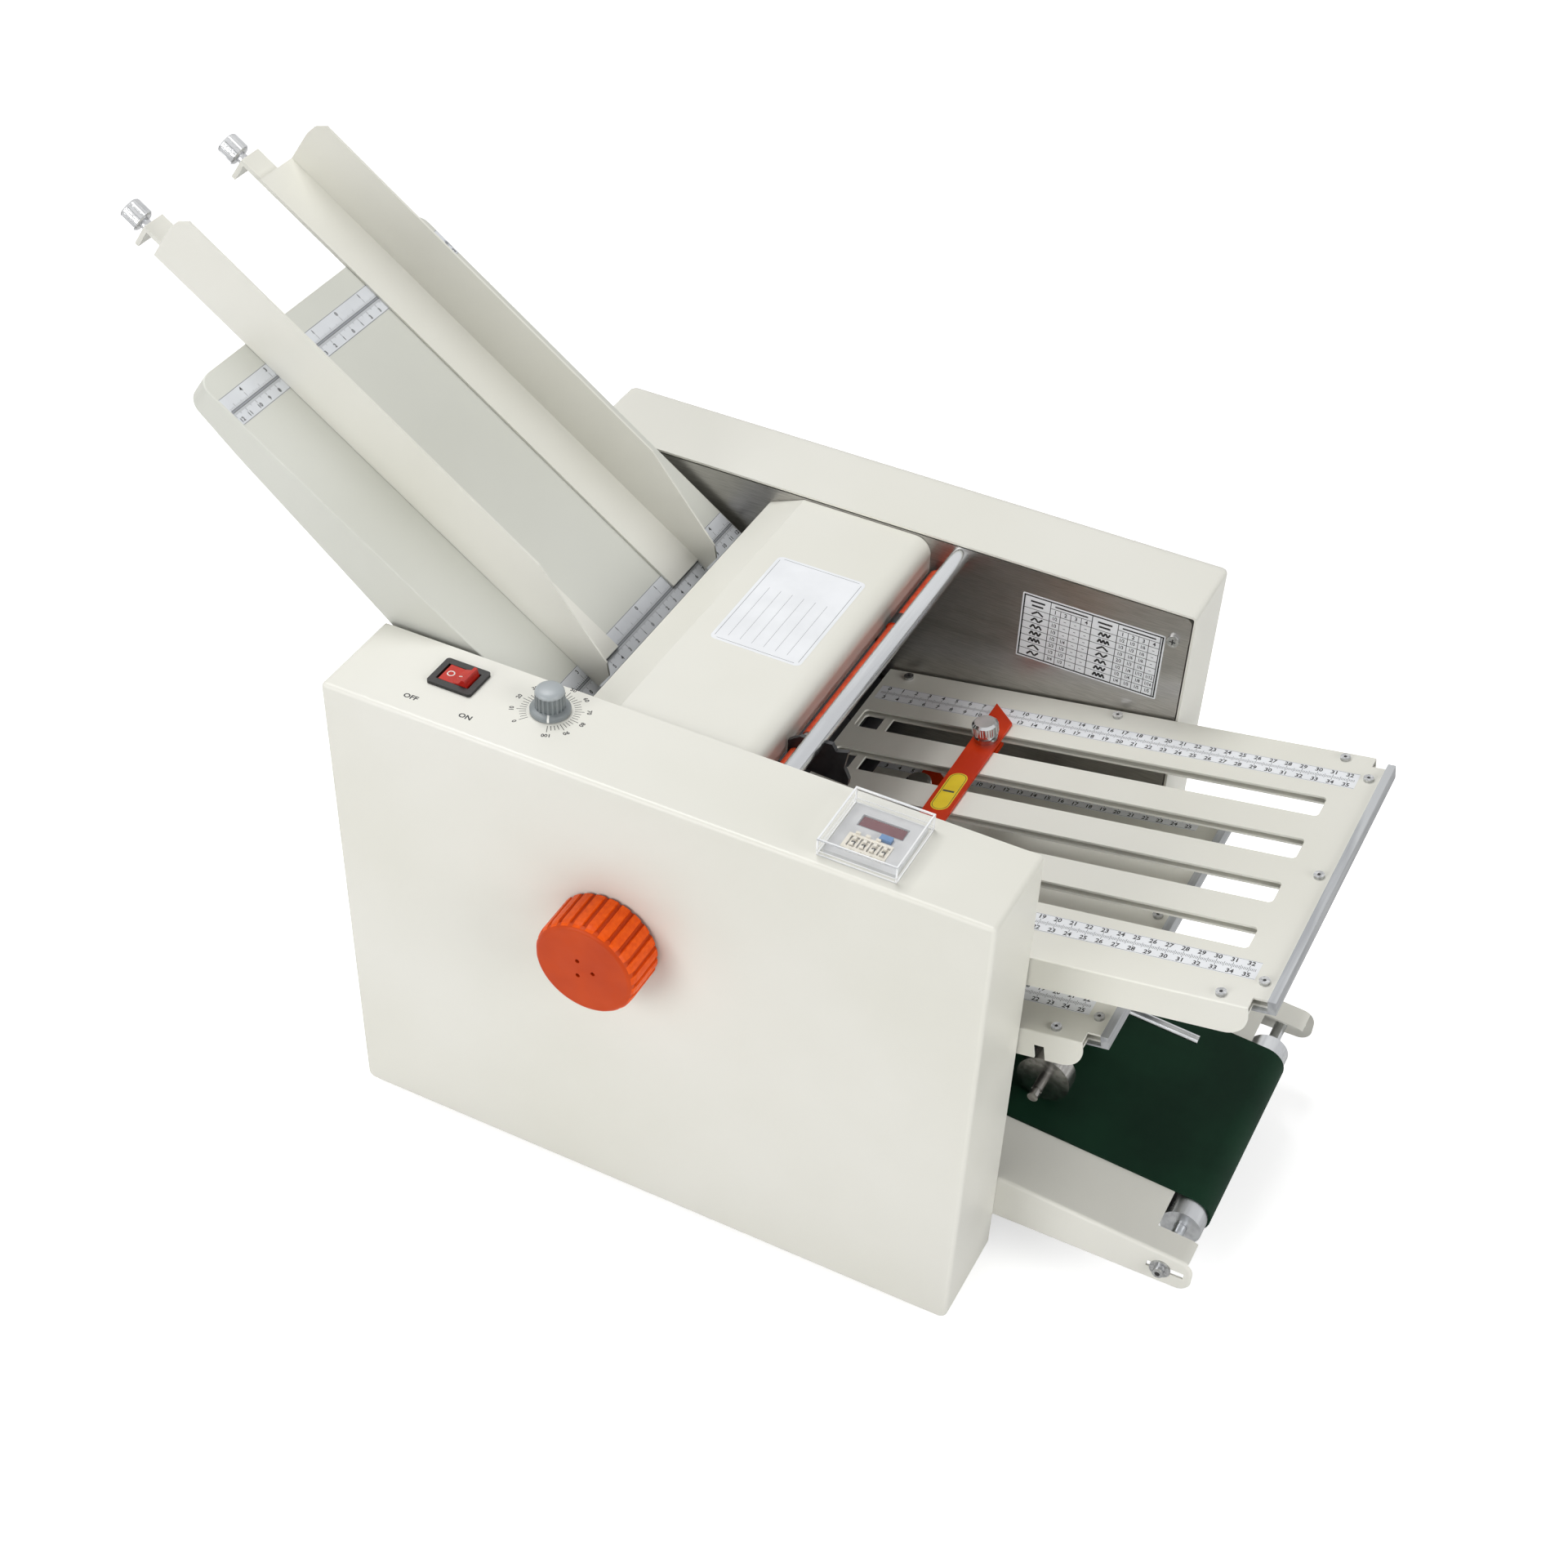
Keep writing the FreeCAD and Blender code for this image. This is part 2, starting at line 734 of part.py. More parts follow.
top = body("top_sheet")
sk = sketch(top, "XZ_Plane")
outline(sk, [("top_left_x", "top_left_z"), ("top_ridge_x", "top_z"), ("top_right_x", "top_z"),
             ("top_right_x", "top_right_z"), ("top_right_x - top_t", "top_right_z"), ("top_right_x - top_t", "top_z - top_t"),
             ("top_ridge_x", "top_z - top_t"), ("top_left_x", "top_left_z - top_t")])
pad(top, sk, "inner_gap - 2*fit_gap", mid=True)
soften(top, "top_bend_r", lambda e: along(e, "y") and near(e, x="top_right_x", z="top_z"))
soften(top, "top_bend_r - top_t", lambda e: along(e, "y") and near(e, x="top_right_x - top_t", z="top_z - top_t"))
node("top_cover", top)


# Tie rods, the cross bar with the press arm's guide rod, and the idler's fixed shaft

rods = []
for k, (x, z) in enumerate(TIE_RODS):
    bar = rod("tie_rod", "Y", (x, "-inner_gap/2", z), "rod_r", "inner_gap")
    if k == 4:
        slide = rod("guide_rod", "X", ("arm_rod_start", "0", "arm_rod_rise"), "arm_rod_r", "arm_rod_end - arm_rod_start")
        slide = place(group("guide_rod_tilted", [slide]), ("drive_x", "0", "drive_z"), FALL)
        bar = fuse("cross_bar", [bar, slide])
    ends = [rod("tie_bore", "Y", (x, y, z), "screw_r", "11") for y in ("-inner_gap/2 - 1", "inner_gap/2 - 10")]
    rods.append(cut("drilled_rod", bar, ends))
idler_shaft = rod("idler_bar", "Y", ("idler_x", "-(skirt_half - skirt_t)", "idler_z"), "idler_shaft_r",
                  "2*(skirt_half - skirt_t)")
rods.append(idler_shaft)
node("cross_rods", group("rods", rods))

guide_bar = body("guide_bar_turned")
sk = sketch(guide_bar, "YZ_Plane")
outline(sk, [("-inner_gap/2", "0"), ("-inner_gap/2", "bar_core_r"), ("-inner_gap/2 + 6", "bar_core_r"),
             ("-inner_gap/2 + 6", "bar_r"), ("bar_clamp_y", "bar_r"), ("bar_clamp_y", "bar_r - 0.8"),
             ("bar_clamp_y + bar_clamp_long", "bar_r - 0.8"), ("bar_clamp_y + bar_clamp_long", "bar_r"),
             ("bar_collar_y", "bar_r"), ("bar_collar_y", "bar_collar_r"), ("bar_collar_y + bar_collar_long", "bar_collar_r"),
             ("bar_collar_y + bar_collar_long", "bar_r"), ("inner_gap/2 - 6", "bar_r"), ("inner_gap/2 - 6", "bar_core_r"),
             ("inner_gap/2", "bar_core_r"), ("inner_gap/2", "0")])
revolve(guide_bar, sk)
node("guide_bar", place(guide_bar, ("bar_x", "0", "bar_z")))


# Fold rollers: each carries its gear, and three of them a belt pulley

def gear(owner, y, spin):
    """A spur gear on the body's own axis, from y towards the rear; spin is where a tooth space points."""
    disc = sketch(owner, "XZ_Plane", lift="-(%s)" % y)
    circle(disc, "0", "0", "pitch/2 + gear_add")
    pad(owner, disc, "gear_t", back=True)
    space = sketch(owner, "XZ_Plane", lift="-(%s)" % y, spin=spin)
    outline(space, [("pitch/2 - gear_ded", "-space_root"), ("pitch/2 + gear_add + 1", "-space_tip - 0.4"),
                    ("pitch/2 + gear_add + 1", "space_tip + 0.4"), ("pitch/2 - gear_ded", "space_root")])
    polar(owner, pocket(owner, space, "gear_t"), space, "gear_teeth")


def pulley(y):
    """The profile of a belt pulley with two lips, as corners for a revolved sketch."""
    a, b = "(%s) - pulley_lip_t" % y, "(%s) + belt_t + pulley_lip_t" % y
    return [(a, "shaft_r"), (a, "pulley_r + pulley_lip"), (y, "pulley_r + pulley_lip"), (y, "pulley_r"),
            ("(%s) + belt_t" % y, "pulley_r"), ("(%s) + belt_t" % y, "pulley_r + pulley_lip"),
            (b, "pulley_r + pulley_lip"), (b, "shaft_r")]


for i in range(1, 7):
    turned = body("fold_roller_%d_turned" % i)
    front = "-(hand_y + gear_t + 2)" if i == 2 else "-(inner_gap/2 + plate_t + 2)"
    lane = {1: "belt_y", 2: "motor_y", 6: "belt_y"}.get(i)
    rear = "(%s) + belt_t + 4" % lane if lane else "gear_y + gear_t + 1"
    size = "(pitch/2 - roller_gap)"
    profile = [(front, "0"), (front, "shaft_r"), ("-roller_half", "shaft_r"), ("-roller_half", size)]
    for k in (-3, -1, 1, 3):
        a, b = "%d*groove_step - groove_wide/2" % k, "%d*groove_step + groove_wide/2" % k
        profile += [(a, size), (a, size + " - groove_deep"), (b, size + " - groove_deep"), (b, size)]
    profile += [("roller_half", size), ("roller_half", "shaft_r")]
    profile += pulley(lane) if lane else []
    profile += [(rear, "shaft_r"), (rear, "0")]
    sk = sketch(turned, "YZ_Plane")
    outline(sk, profile)
    revolve(turned, sk)
    gear(turned, "gear_y", "tray_tilt - 90" + (" + 180/gear_teeth" if i % 2 else ""))
    if i == 2:
        gear(turned, "-(hand_y + gear_t)", "hand_angle + 180/gear_teeth")
    x, z = roller_at(i)
    node("fold_roller_%d" % i, place(turned, (x, "0", z)))


# Hand crank: a stub shaft with its gear, and the fluted knob

crank = body("hand_shaft_turned")
sk = sketch(crank, "YZ_Plane")
knob_base = "-(inner_gap/2 + front_deep + knob_gap)"
rect(sk, knob_base + " - knob_long/2", "0", "-inner_gap/2", "hand_r")
revolve(crank, sk)
gear(crank, "-(hand_y + gear_t)", "hand_angle")
node("hand_shaft", place(crank, (HAND[0], "0", HAND[1])))

knob = body("knob_turned")
sk = sketch(knob, "XZ_Plane")
circle(sk, "0", "0", "knob_r")
pad(knob, sk, "knob_long")
soften(knob, "knob_edge_r", lambda e: abs(e.CenterOfMass.y + num("knob_long")) < 0.01 and not along(e, "y"))
sk = sketch(knob, "XZ_Plane")
circle(sk, "knob_r + knob_flute_r*0.3", "0", "knob_flute_r")
polar(knob, pocket(knob, sk, "knob_long - knob_edge_r - 1", back=True), sk, "knob_flutes")
sk = sketch(knob, "XZ_Plane", lift="knob_long")
circle(sk, "knob_hole_ring", "0", "knob_hole_r")
polar(knob, pocket(knob, sk, "2"), sk, "3")
sk = sketch(knob, "XZ_Plane")
circle(sk, "0", "0", "hand_r")
pocket(knob, sk, "knob_long/2", back=True)
node("hand_knob", place(knob, (HAND[0], knob_base, HAND[1])))


# Flanged bushings in the side plates

bushes = []


def bush(x, z, side, outer, bore):
    inner_y = "inner_gap/2 - bearing_lip_t" if side > 0 else "-inner_gap/2 - plate_t"
    lip_y = inner_y if side > 0 else "-inner_gap/2"
    whole = fuse("bush_body", [rod("bush_barrel", "Y", (x, inner_y, z), outer, "plate_t + bearing_lip_t"),
                               rod("bush_lip", "Y", (x, lip_y, z), outer + " + bearing_lip", "bearing_lip_t")])
    bushes.append(cut("bush", whole, [rod("bush_bore", "Y", (x, inner_y + " - 1", z), bore, "plate_t + bearing_lip_t + 2")]))


for side in (-1, 1):
    for i in range(1, 7):
        bush(*roller_at(i), side, "bearing_r", "shaft_r + shaft_run")
    bush("feed_roll_x", "feed_roll_z", side, "bearing_r + 1", "feed_shaft_r + shaft_run")
    bush("drive_x", "drive_z", side, "bearing_r", "shaft_r + shaft_run")
bush(*HAND, -1, "hand_bush_r", "hand_r + shaft_run")
node("bushings", group("all_bushings", bushes))


# Feed table: a sheet sloping down to the feed roller, its sides bent down

def tilted(obj):
    return place(obj, ("feed_x", "0", "feed_z"), "feed_tilt")


feed = body("feed_sheet")
sk = sketch(feed, "XY_Plane")
rect(sk, "feed_top", "-feed_half", "feed_end", "feed_half")
pad(feed, sk, "feed_t", back=True)
soften(feed, "feed_corner_r", lambda e: along(e, "z") and near(e, x="feed_top"))
for side in (-1, 1):
    sk = sketch(feed, "XZ_Plane", lift="%d*feed_half" % -side)
    outline(sk, [("feed_top + feed_corner_r", "0"), ("feed_end", "0"), ("feed_end", "-flange_end"),
                 ("flange_low_s", "-flange_low"), ("flange_mid_s", "-flange_mid"),
                 ("feed_top + feed_corner_r", "-flange_top")])
    pad(feed, sk, "feed_t", back=side < 0)
soften(feed, "feed_bend_r", lambda e: along(e, "x") and abs(e.CenterOfMass.z) < 0.01)
sk = sketch(feed, "YZ_Plane", lift="feed_top")
rect(sk, "-feed_half + feed_corner_r", "0", "feed_half - feed_corner_r", "-feed_end_flange")
pad(feed, sk, "feed_t")
sk = sketch(feed, "YZ_Plane", lift="feed_top")
rect(sk, "-clamp_slot_half", "-feed_t", "clamp_slot_half", "-feed_t - clamp_slot_high")
pocket(feed, sk, "feed_t", back=True)
sk = sketch(feed, "XZ_Plane")
for k in (0, 1):
    circle(sk, "stud_s + %d*stud_step" % k, "-stud_drop", "stud_shank_r")
pocket(feed, sk)
node("feed_table", tilted(feed))


# Side guides: wall and floor lie on the table, the clamp rail runs under it

def side_guide(name, side):
    guide = body(name + "_bent")
    outer = "%d*guide_y" % side
    inner = "%d*(guide_y - guide_floor)" % side
    sk = sketch(guide, "XZ_Plane", lift="%d*guide_y" % -side)
    outline(sk, [("guide_top_s", "fit_gap"), ("guide_tip_s", "fit_gap"), ("guide_tip_s", "guide_tip_high - 7"),
                 ("guide_tip_s - guide_tip_in", "guide_tip_high"), ("guide_kink_s", "guide_kink_high"),
                 ("guide_top_s + guide_top_in", "guide_high"), ("guide_top_s + 2", "guide_high - 7"),
                 ("guide_top_s", "guide_high - 16")])
    pad(guide, sk, "guide_t", back=side > 0)
    sk = sketch(guide, "XY_Plane", lift="fit_gap")
    rect(sk, "guide_top_s", outer, "guide_tip_s - 8", inner)
    pad(guide, sk, "guide_t")
    rail_far = "%d*(guide_y - clamp_off + rail_wide/2)" % side
    rail_near = "%d*(guide_y - clamp_off - rail_wide/2)" % side
    sk = sketch(guide, "XY_Plane", lift="-(feed_t + fit_gap)")
    rect(sk, "guide_top_s", rail_near, "rail_low_s", rail_far)
    pad(guide, sk, "rail_t", back=True)
    sk = sketch(guide, "XY_Plane", lift="-(feed_t + fit_gap)")
    rect(sk, "guide_top_s", rail_near, "guide_top_s + bridge_long", rail_far)
    pad(guide, sk, "feed_t + 2*fit_gap")
    sk = sketch(guide, "XY_Plane", lift="-(feed_t + fit_gap)")
    rect(sk, "lug_s", rail_near, "guide_top_s + 1", rail_far)
    pad(guide, sk, "rail_t", back=True)
    sk = sketch(guide, "YZ_Plane", lift="lug_s")
    rect(sk, rail_near, "-(feed_t + fit_gap)", rail_far, "-lug_drop")
    pad(guide, sk, "lug_t")
    sk = sketch(guide, "YZ_Plane", lift="lug_s")
    circle(sk, "%d*(guide_y - clamp_off)" % side, "-clamp_drop", "clamp_r + clamp_run")
    pocket(guide, sk, "lug_t", back=True)
    node(name, tilted(guide))


side_guide("near_side_guide", -1)
side_guide("far_side_guide", 1)


def clamp_screw(name, side):
    """Thumb screw in the guide's lug: its tip presses on the table's bent top edge."""
    screw = body(name + "_turned")
    sk = sketch(screw, "XY_Plane")
    outline(sk, [("lug_s - fit_gap - knurl_neck_long - knurl_long", "0"),
                 ("lug_s - fit_gap - knurl_neck_long - knurl_long", "knurl_r - 1"),
                 ("lug_s - fit_gap - knurl_neck_long - knurl_long + 1", "knurl_r"),
                 ("lug_s - fit_gap - knurl_neck_long - 1", "knurl_r"),
                 ("lug_s - fit_gap - knurl_neck_long", "knurl_r - 1"),
                 ("lug_s - fit_gap - knurl_neck_long", "knurl_neck_r"), ("lug_s - fit_gap", "knurl_neck_r"),
                 ("lug_s - fit_gap", "clamp_r"), ("feed_top - fit_gap", "clamp_r"), ("feed_top - fit_gap", "0")])
    revolve(screw, sk)
    x, z = on_table("0", "-clamp_drop")
    node(name, place(screw, (x, "%d*(guide_y - clamp_off)" % side, z), "feed_tilt"))


clamp_screw("near_clamp_screw", -1)
clamp_screw("far_clamp_screw", 1)


# Feed roller: a driven shaft with three rubber tyres, over the separator pad

shaft = body("feed_shaft_turned")
sk = sketch(shaft, "YZ_Plane")
outline(sk, [("-(inner_gap/2 + plate_t + 2)", "0"), ("-(inner_gap/2 + plate_t + 2)", "feed_shaft_r")]
        + [(a, b.replace("shaft_r", "feed_shaft_r")) for a, b in pulley("belt_y")]
        + [("belt_y + belt_t + 4", "feed_shaft_r"), ("belt_y + belt_t + 4", "0")])
revolve(shaft, sk)
node("feed_shaft", place(shaft, ("feed_roll_x", "0", "feed_roll_z")))
tyres = []
for k in (-1, 0, 1):
    y = "%d*tyre_step - tyre_wide/2" % k
    whole = rod("tyre_body", "Y", ("feed_roll_x", y, "feed_roll_z"), "feed_roll_r", "tyre_wide")
    tyres.append(cut("tyre", whole, [rod("tyre_bore", "Y", ("feed_roll_x", y + " - 1", "feed_roll_z"),
                                         "feed_shaft_r", "tyre_wide + 2")]))
node("feed_tyres", group("tyres", tyres))

PAD_TOP = "((feed_z - feed_roll_z)*cos(feed_tilt) + (feed_x - feed_roll_x)*sin(feed_tilt))"
pad_block = box("pad_block", ("pad_s", "-pad_wide/2", "-%s - feed_roll_r - fit_gap - pad_t" % PAD_TOP),
                ("pad_long", "pad_wide", "pad_t"))
node("separator_pad", tilted(group("pad_tilted", [pad_block])))

chute = body("chute_lower")
sk = sketch(chute, "XZ_Plane")
seat = "(-%s - feed_roll_r - fit_gap - pad_t)" % PAD_TOP
a = on_table("feed_end + chute_start", seat)
b = on_table("pad_s + pad_long + 2", seat)
nip = nip_at(1)
slant = "atan2(%s - %s; %s - %s)" % (b[1], nip[1], nip[0], b[0])
c = ("(%s - chute_stop*cos(%s) - chute_gap*sin(%s))" % (nip[0], slant, slant),
     "(%s + chute_stop*sin(%s) - chute_gap*cos(%s))" % (nip[1], slant, slant))
outline(sk, [a, b, c, (c[0] + " - chute_t*sin(%s)" % slant, c[1] + " - chute_t*cos(%s)" % slant),
             (b[0] + " - chute_t*sin(feed_tilt)", b[1] + " - chute_t*1.2"),
             (a[0] + " - chute_t*sin(feed_tilt)", a[1] + " - chute_t*cos(feed_tilt)")])
pad(chute, sk, "2*chute_half", mid=True)
hood = body("chute_upper")
sk = sketch(hood, "XZ_Plane")


def on_chute(s, n):
    """A point above the line that the paper takes from the feed roller to the first nip."""
    x, z = on_table(PAD_S, "-%s - feed_roll_r - fit_gap" % PAD_TOP)
    fall = "atan2(%s - %s; %s - %s)" % (z, nip[1], nip[0], x)
    return ("(%s + (%s)*cos(%s) + (%s)*sin(%s))" % (x, s, fall, n, fall),
            "(%s - (%s)*sin(%s) + (%s)*cos(%s))" % (z, s, fall, n, fall))


PAD_S = "((feed_roll_x - feed_x)*cos(feed_tilt) + (feed_z - feed_roll_z)*sin(feed_tilt))"
outline(sk, [on_chute("hood_start", "chute_gap"), on_chute("hood_stop", "chute_gap"),
             on_chute("hood_stop", "chute_gap + chute_t"), on_chute("hood_start", "chute_gap + chute_t")])
pad(hood, sk, "2*chute_half", mid=True)
node("infeed_guides", group("chutes", [chute, hood]))


# Fold trays: two slotted plates each, held 3 mm apart by pressed bosses

def in_tray(i, obj):
    x, z = nip_at(i)
    return place(obj, (x, "0", z), "-tray_tilt")


TRAYS = {1: ("tray_one", 1, "screw_one_mid", "screw_one_far"), 2: ("tray_two", -1, None, "screw_two_far"),
         3: ("tray_three", 1, "screw_three_mid", "screw_three_far"), 4: ("tray_four", -1, None, "screw_four_far")}


def ruler(i, s):
    """A reading on the tray's ruler, as a distance from the nip."""
    name, way, _, _ = TRAYS[i]
    return "%d*(%s_zero + (%s))" % (way, name, s)


def edge_screws(i):
    return [ruler(i, s) for s in ("screw_first",) + TRAYS[i][2:] if s]


def tray_plate(i, upper):
    name, way, _, _ = TRAYS[i]
    start, end = "%d*tray_start" % way, ruler(i, name + "_long")
    tab = ruler(i, name + "_long + tab_long")
    plate = body("tray_%d_%s" % (i, "upper" if upper else "lower"))
    sk = sketch(plate, "XY_Plane", lift="tray_gap" if upper else "-tray_gap")
    half = "tray_half" if upper else "(tray_half - tray_t - fit_gap)"
    rect(sk, start, "-" + half, end, half)
    pad(plate, sk, "tray_t", back=not upper)
    if upper:
        for side in (-1, 1):
            sk = sketch(plate, "XZ_Plane", lift="%d*tray_half" % -side)
            low = "tray_gap + tray_t - tray_flange"
            rect(sk, start, "tray_gap + tray_t", end, low)
            pad(plate, sk, "tray_t", back=side < 0)
        soften(plate, "tray_corner_r", lambda e: along(e, "y") and near(e, x=end, z=low))
        soften(plate, "feed_bend_r", lambda e: along(e, "x") and near(e, z="tray_gap + tray_t"))
    sk = sketch(plate, "XY_Plane", lift="tray_gap" if upper else "-tray_gap")
    rect(sk, end + " - %d" % way, "-tab_half", tab, "tab_half")
    pad(plate, sk, "tray_t", back=not upper)
    if not upper:
        sk = sketch(plate, "XY_Plane", lift="-tray_gap")
        for s in edge_screws(i):
            circle(sk, s, "-edge_screw_y", "boss_r")
            circle(sk, s, "edge_screw_y", "boss_r")
        for y in ("-end_screw_y", "0", "end_screw_y"):
            circle(sk, ruler(i, name + "_long + end_screw_off"), y, "boss_r")
        pad(plate, sk, "2*tray_gap")
    slots = sketch(plate, "XY_Plane")
    first = "%d*(tray_start + %s)" % (way, "slot_web" if upper else "long_slot")
    for k in (-3, -1, 1, 3):
        rect(slots, first, "%d*slot_step/2 - slot_wide/2" % k, ruler(i, name + "_slot"), "%d*slot_step/2 + slot_wide/2" % k)
    if not upper:
        for k in (-3, -1, 1, 3):
            rect(slots, "%d*(tray_start + slot_web)" % way, "%d*slot_step/2 - slot_wide/2" % k,
                 "%d*(tray_start + short_slot)" % way, "%d*slot_step/2 + slot_wide/2" % k)
    pocket(plate, slots)
    soften(plate, "slot_r", lambda e: along(e, "z") and near(e, x=ruler(i, name + "_slot")))
    soften(plate, "slot_r", lambda e: along(e, "z") and near(e, x="%d*(tray_start + slot_web)" % way))
    holes = sketch(plate, "XY_Plane")
    for s in edge_screws(i):
        circle(holes, s, "-edge_screw_y", "edge_screw_r")
        circle(holes, s, "edge_screw_y", "edge_screw_r")
    for y in ("-end_screw_y", "0", "end_screw_y"):
        circle(holes, ruler(i, name + "_long + end_screw_off"), y, "edge_screw_r")
    pocket(plate, holes)
    if upper and i == 3:
        hook = sketch(plate, "XZ_Plane")
        low = "tray_gap + tray_t - tray_flange"
        rect(hook, ruler(i, "hook_s"), low + " + hook_deep", ruler(i, "hook_s + hook_long"), low + " - 1")
        pocket(plate, hook)
    return in_tray(i, plate)


for i in (1, 3):
    node("tray_%d_upper_plate" % i, tray_plate(i, True))
    node("tray_%d_lower_plate" % i, tray_plate(i, False))
node("left_tray_plates", group("left_plates", [tray_plate(i, upper) for i in (2, 4) for upper in (True, False)]))

strips = []
for i in TRAYS:
    name, way, _, _ = TRAYS[i]
    end = "(%s_zero + %s_long + tab_long + fit_gap)" % (name, name)
    strip = body("strip_%d" % i)
    sk = sketch(strip, "XZ_Plane")
    low = "-tray_gap - tray_t"
    outline(sk, [("%d*(%s - strip_leg)" % (way, end), low), ("%d*%s" % (way, end), low), ("%d*%s" % (way, end), "strip_high/2"),
                 ("%d*(%s + strip_t)" % (way, end), "strip_high/2"), ("%d*(%s + strip_t)" % (way, end), low + " - tray_t"),
                 ("%d*(%s - strip_leg)" % (way, end), low + " - tray_t")])
    pad(strip, sk, "2*strip_half", mid=True)
    sk = sketch(strip, "XY_Plane")
    for y in ("-end_screw_y", "0", "end_screw_y"):
        circle(sk, ruler(i, name + "_long + end_screw_off"), y, "edge_screw_r")
    pocket(strip, sk)
    strips.append(in_tray(i, strip))
node("tray_end_strips", group("all_strips", strips))


# Stop bars: a painted bar across the tray, its fingers reach down through the slots

STOPS = {1: "stop_one", 2: "stop_two", 3: "stop_three", 4: "stop_four"}
BAR_LOW = "(tray_gap + tray_t + fit_gap)"
for i, name in STOPS.items():
    a, b = ruler(i, name), ruler(i, name + " + stop_wide")
    mid = ruler(i, name + " + stop_wide/2")
    bar = body("stop_%d" % i)
    sk = sketch(bar, "XY_Plane", lift=BAR_LOW)
    outline(sk, [(a, "-stop_half"), (b, "-stop_half"), (b, "stop_half - stop_cut"), (a, "stop_half")])
    pad(bar, sk, "stop_t")
    sk = sketch(bar, "XY_Plane", lift=BAR_LOW)
    for k in (-3, -1, 1):
        rect(sk, mid + " - finger_t/2", "%d*slot_step/2 - finger_wide/2" % k,
             mid + " + finger_t/2", "%d*slot_step/2 + finger_wide/2" % k)
    pad(bar, sk, "finger_drop", back=True)
    sk = sketch(bar, "XY_Plane")
    circle(sk, mid, "3*slot_step/2", "stop_stem_r + 0.1")
    pocket(bar, sk)
    nut = cut("clamp_nut_%d" % i,
              box("nut_%d" % i, (mid + " - 6", "3*slot_step/2 - slot_wide/2 - 3", "-tray_gap - tray_t - fit_gap - 4"),
                  ("12", "slot_wide + 6", "4")),
              [rod("nut_bore_%d" % i, "Z", (mid, "3*slot_step/2", "-tray_gap - tray_t - 10"), "stop_stem_r + 0.1", "10")])
    node("tray_%d_stop_bar" % i, in_tray(i, group("stop_bar_%d" % i, [bar, nut])))

for i, name in STOPS.items():
    screw = body("stop_screw_%d" % i)
    sk = sketch(screw, "YZ_Plane")
    base = BAR_LOW + " + stop_t"
    outline(sk, [("0", "-tray_gap - tray_t - fit_gap - 4"), ("stop_stem_r", "-tray_gap - tray_t - fit_gap - 4"),
                 ("stop_stem_r", base), ("stop_screw_r - 0.6", base), ("stop_screw_r - 0.6", base + " + stop_screw_neck - 2"),
                 ("stop_screw_r - 2", base + " + stop_screw_neck - 1.4"), ("stop_screw_r - 2", base + " + stop_screw_neck"),
                 ("stop_screw_r", base + " + stop_screw_neck + 0.6"), ("stop_screw_r", base + " + stop_screw_high - 1.5"),
                 ("stop_screw_r - 1.6", base + " + stop_screw_high"), ("0", base + " + stop_screw_high")])
    revolve(screw, sk, "V_Axis")
    x, z = on_tray(i, ruler(i, name + " + stop_wide/2"), "0")
    node("tray_%d_stop_screw" % i, place(screw, (x, "3*slot_step/2", z), "-tray_tilt"))


# Delivery conveyor: a bent frame, two rollers and a flat belt

def deck(x):
    return "(drive_z + conv_r/cos(%s) - deck_gap - ((%s) - drive_x)*tan(%s))" % (FALL, x, FALL)


frame = body("conveyor_sheet")
sk = sketch(frame, "XZ_Plane")
outline(sk, [("skirt_left", "skirt_low"), ("skirt_right", "skirt_low"), ("skirt_right", deck("skirt_right")),
             ("skirt_left", deck("skirt_left"))])
pad(frame, sk, "2*skirt_half", mid=True)
soften(frame, "skirt_end_r", lambda e: along(e, "y") and near(e, x="skirt_right"))
soften(frame, "skirt_bend_r", lambda e: e.CenterOfMass.z > num("skirt_low + 15") and abs(e.CenterOfMass.y) > num("belt_half")
       and e.BoundBox.XLength > num("belt_half"))
sk = sketch(frame, "XZ_Plane")
outline(sk, [("skirt_left - 5", "skirt_low - 5"), ("skirt_right + 5", "skirt_low - 5"),
             ("skirt_right + 5", deck("skirt_right + 5") + " - skirt_t"), ("skirt_left - 5", deck("skirt_left - 5") + " - skirt_t")])
pocket(frame, sk, "2*(skirt_half - skirt_t)", mid=True)
sk = sketch(frame, "XY_Plane")
rect(sk, "notch_x", "-notch_half", "skirt_right + 5", "notch_half")
rect(sk, "skirt_left - 5", "-notch_half", "left_notch_x", "notch_half")
pocket(frame, sk)
sk = sketch(frame, "XZ_Plane")
rect(sk, "slide_left", "idler_z - slide_high/2", "slide_right", "idler_z + slide_high/2")
pocket(frame, sk)
sk = sketch(frame, "XZ_Plane")
for x, z in FRAME_SCREWS:
    circle(sk, x, z, "screw_r")
pocket(frame, sk)
node("conveyor_frame", frame)


def loop(name, start, end, radius, y, wide, thick):
    """A flat belt around two equal pulleys, from start to end in the XZ plane."""
    span = "hypot(%s - %s; %s - %s)" % (end[0], start[0], end[1], start[1])
    fall = "atan2(%s - %s; %s - %s)" % (start[1], end[1], end[0], start[0])
    layers = []
    for r, a, b in (("(%s + belt_gap + %s)" % (radius, thick), y, wide),
                    ("(%s + belt_gap)" % radius, "(%s) - 1" % y, "%s + 2" % wide)):
        layers.append(fuse(name + "_hull", [box(name + "_run", ("0", a, "-" + r), (span, b, "2*" + r)),
                                            rod(name + "_end", "Y", ("0", a, "0"), r, b),
                                            rod(name + "_end", "Y", (span, a, "0"), r, b)]))
    return place(cut(name, layers[0], [layers[1]]), (start[0], "0", start[1]), fall)


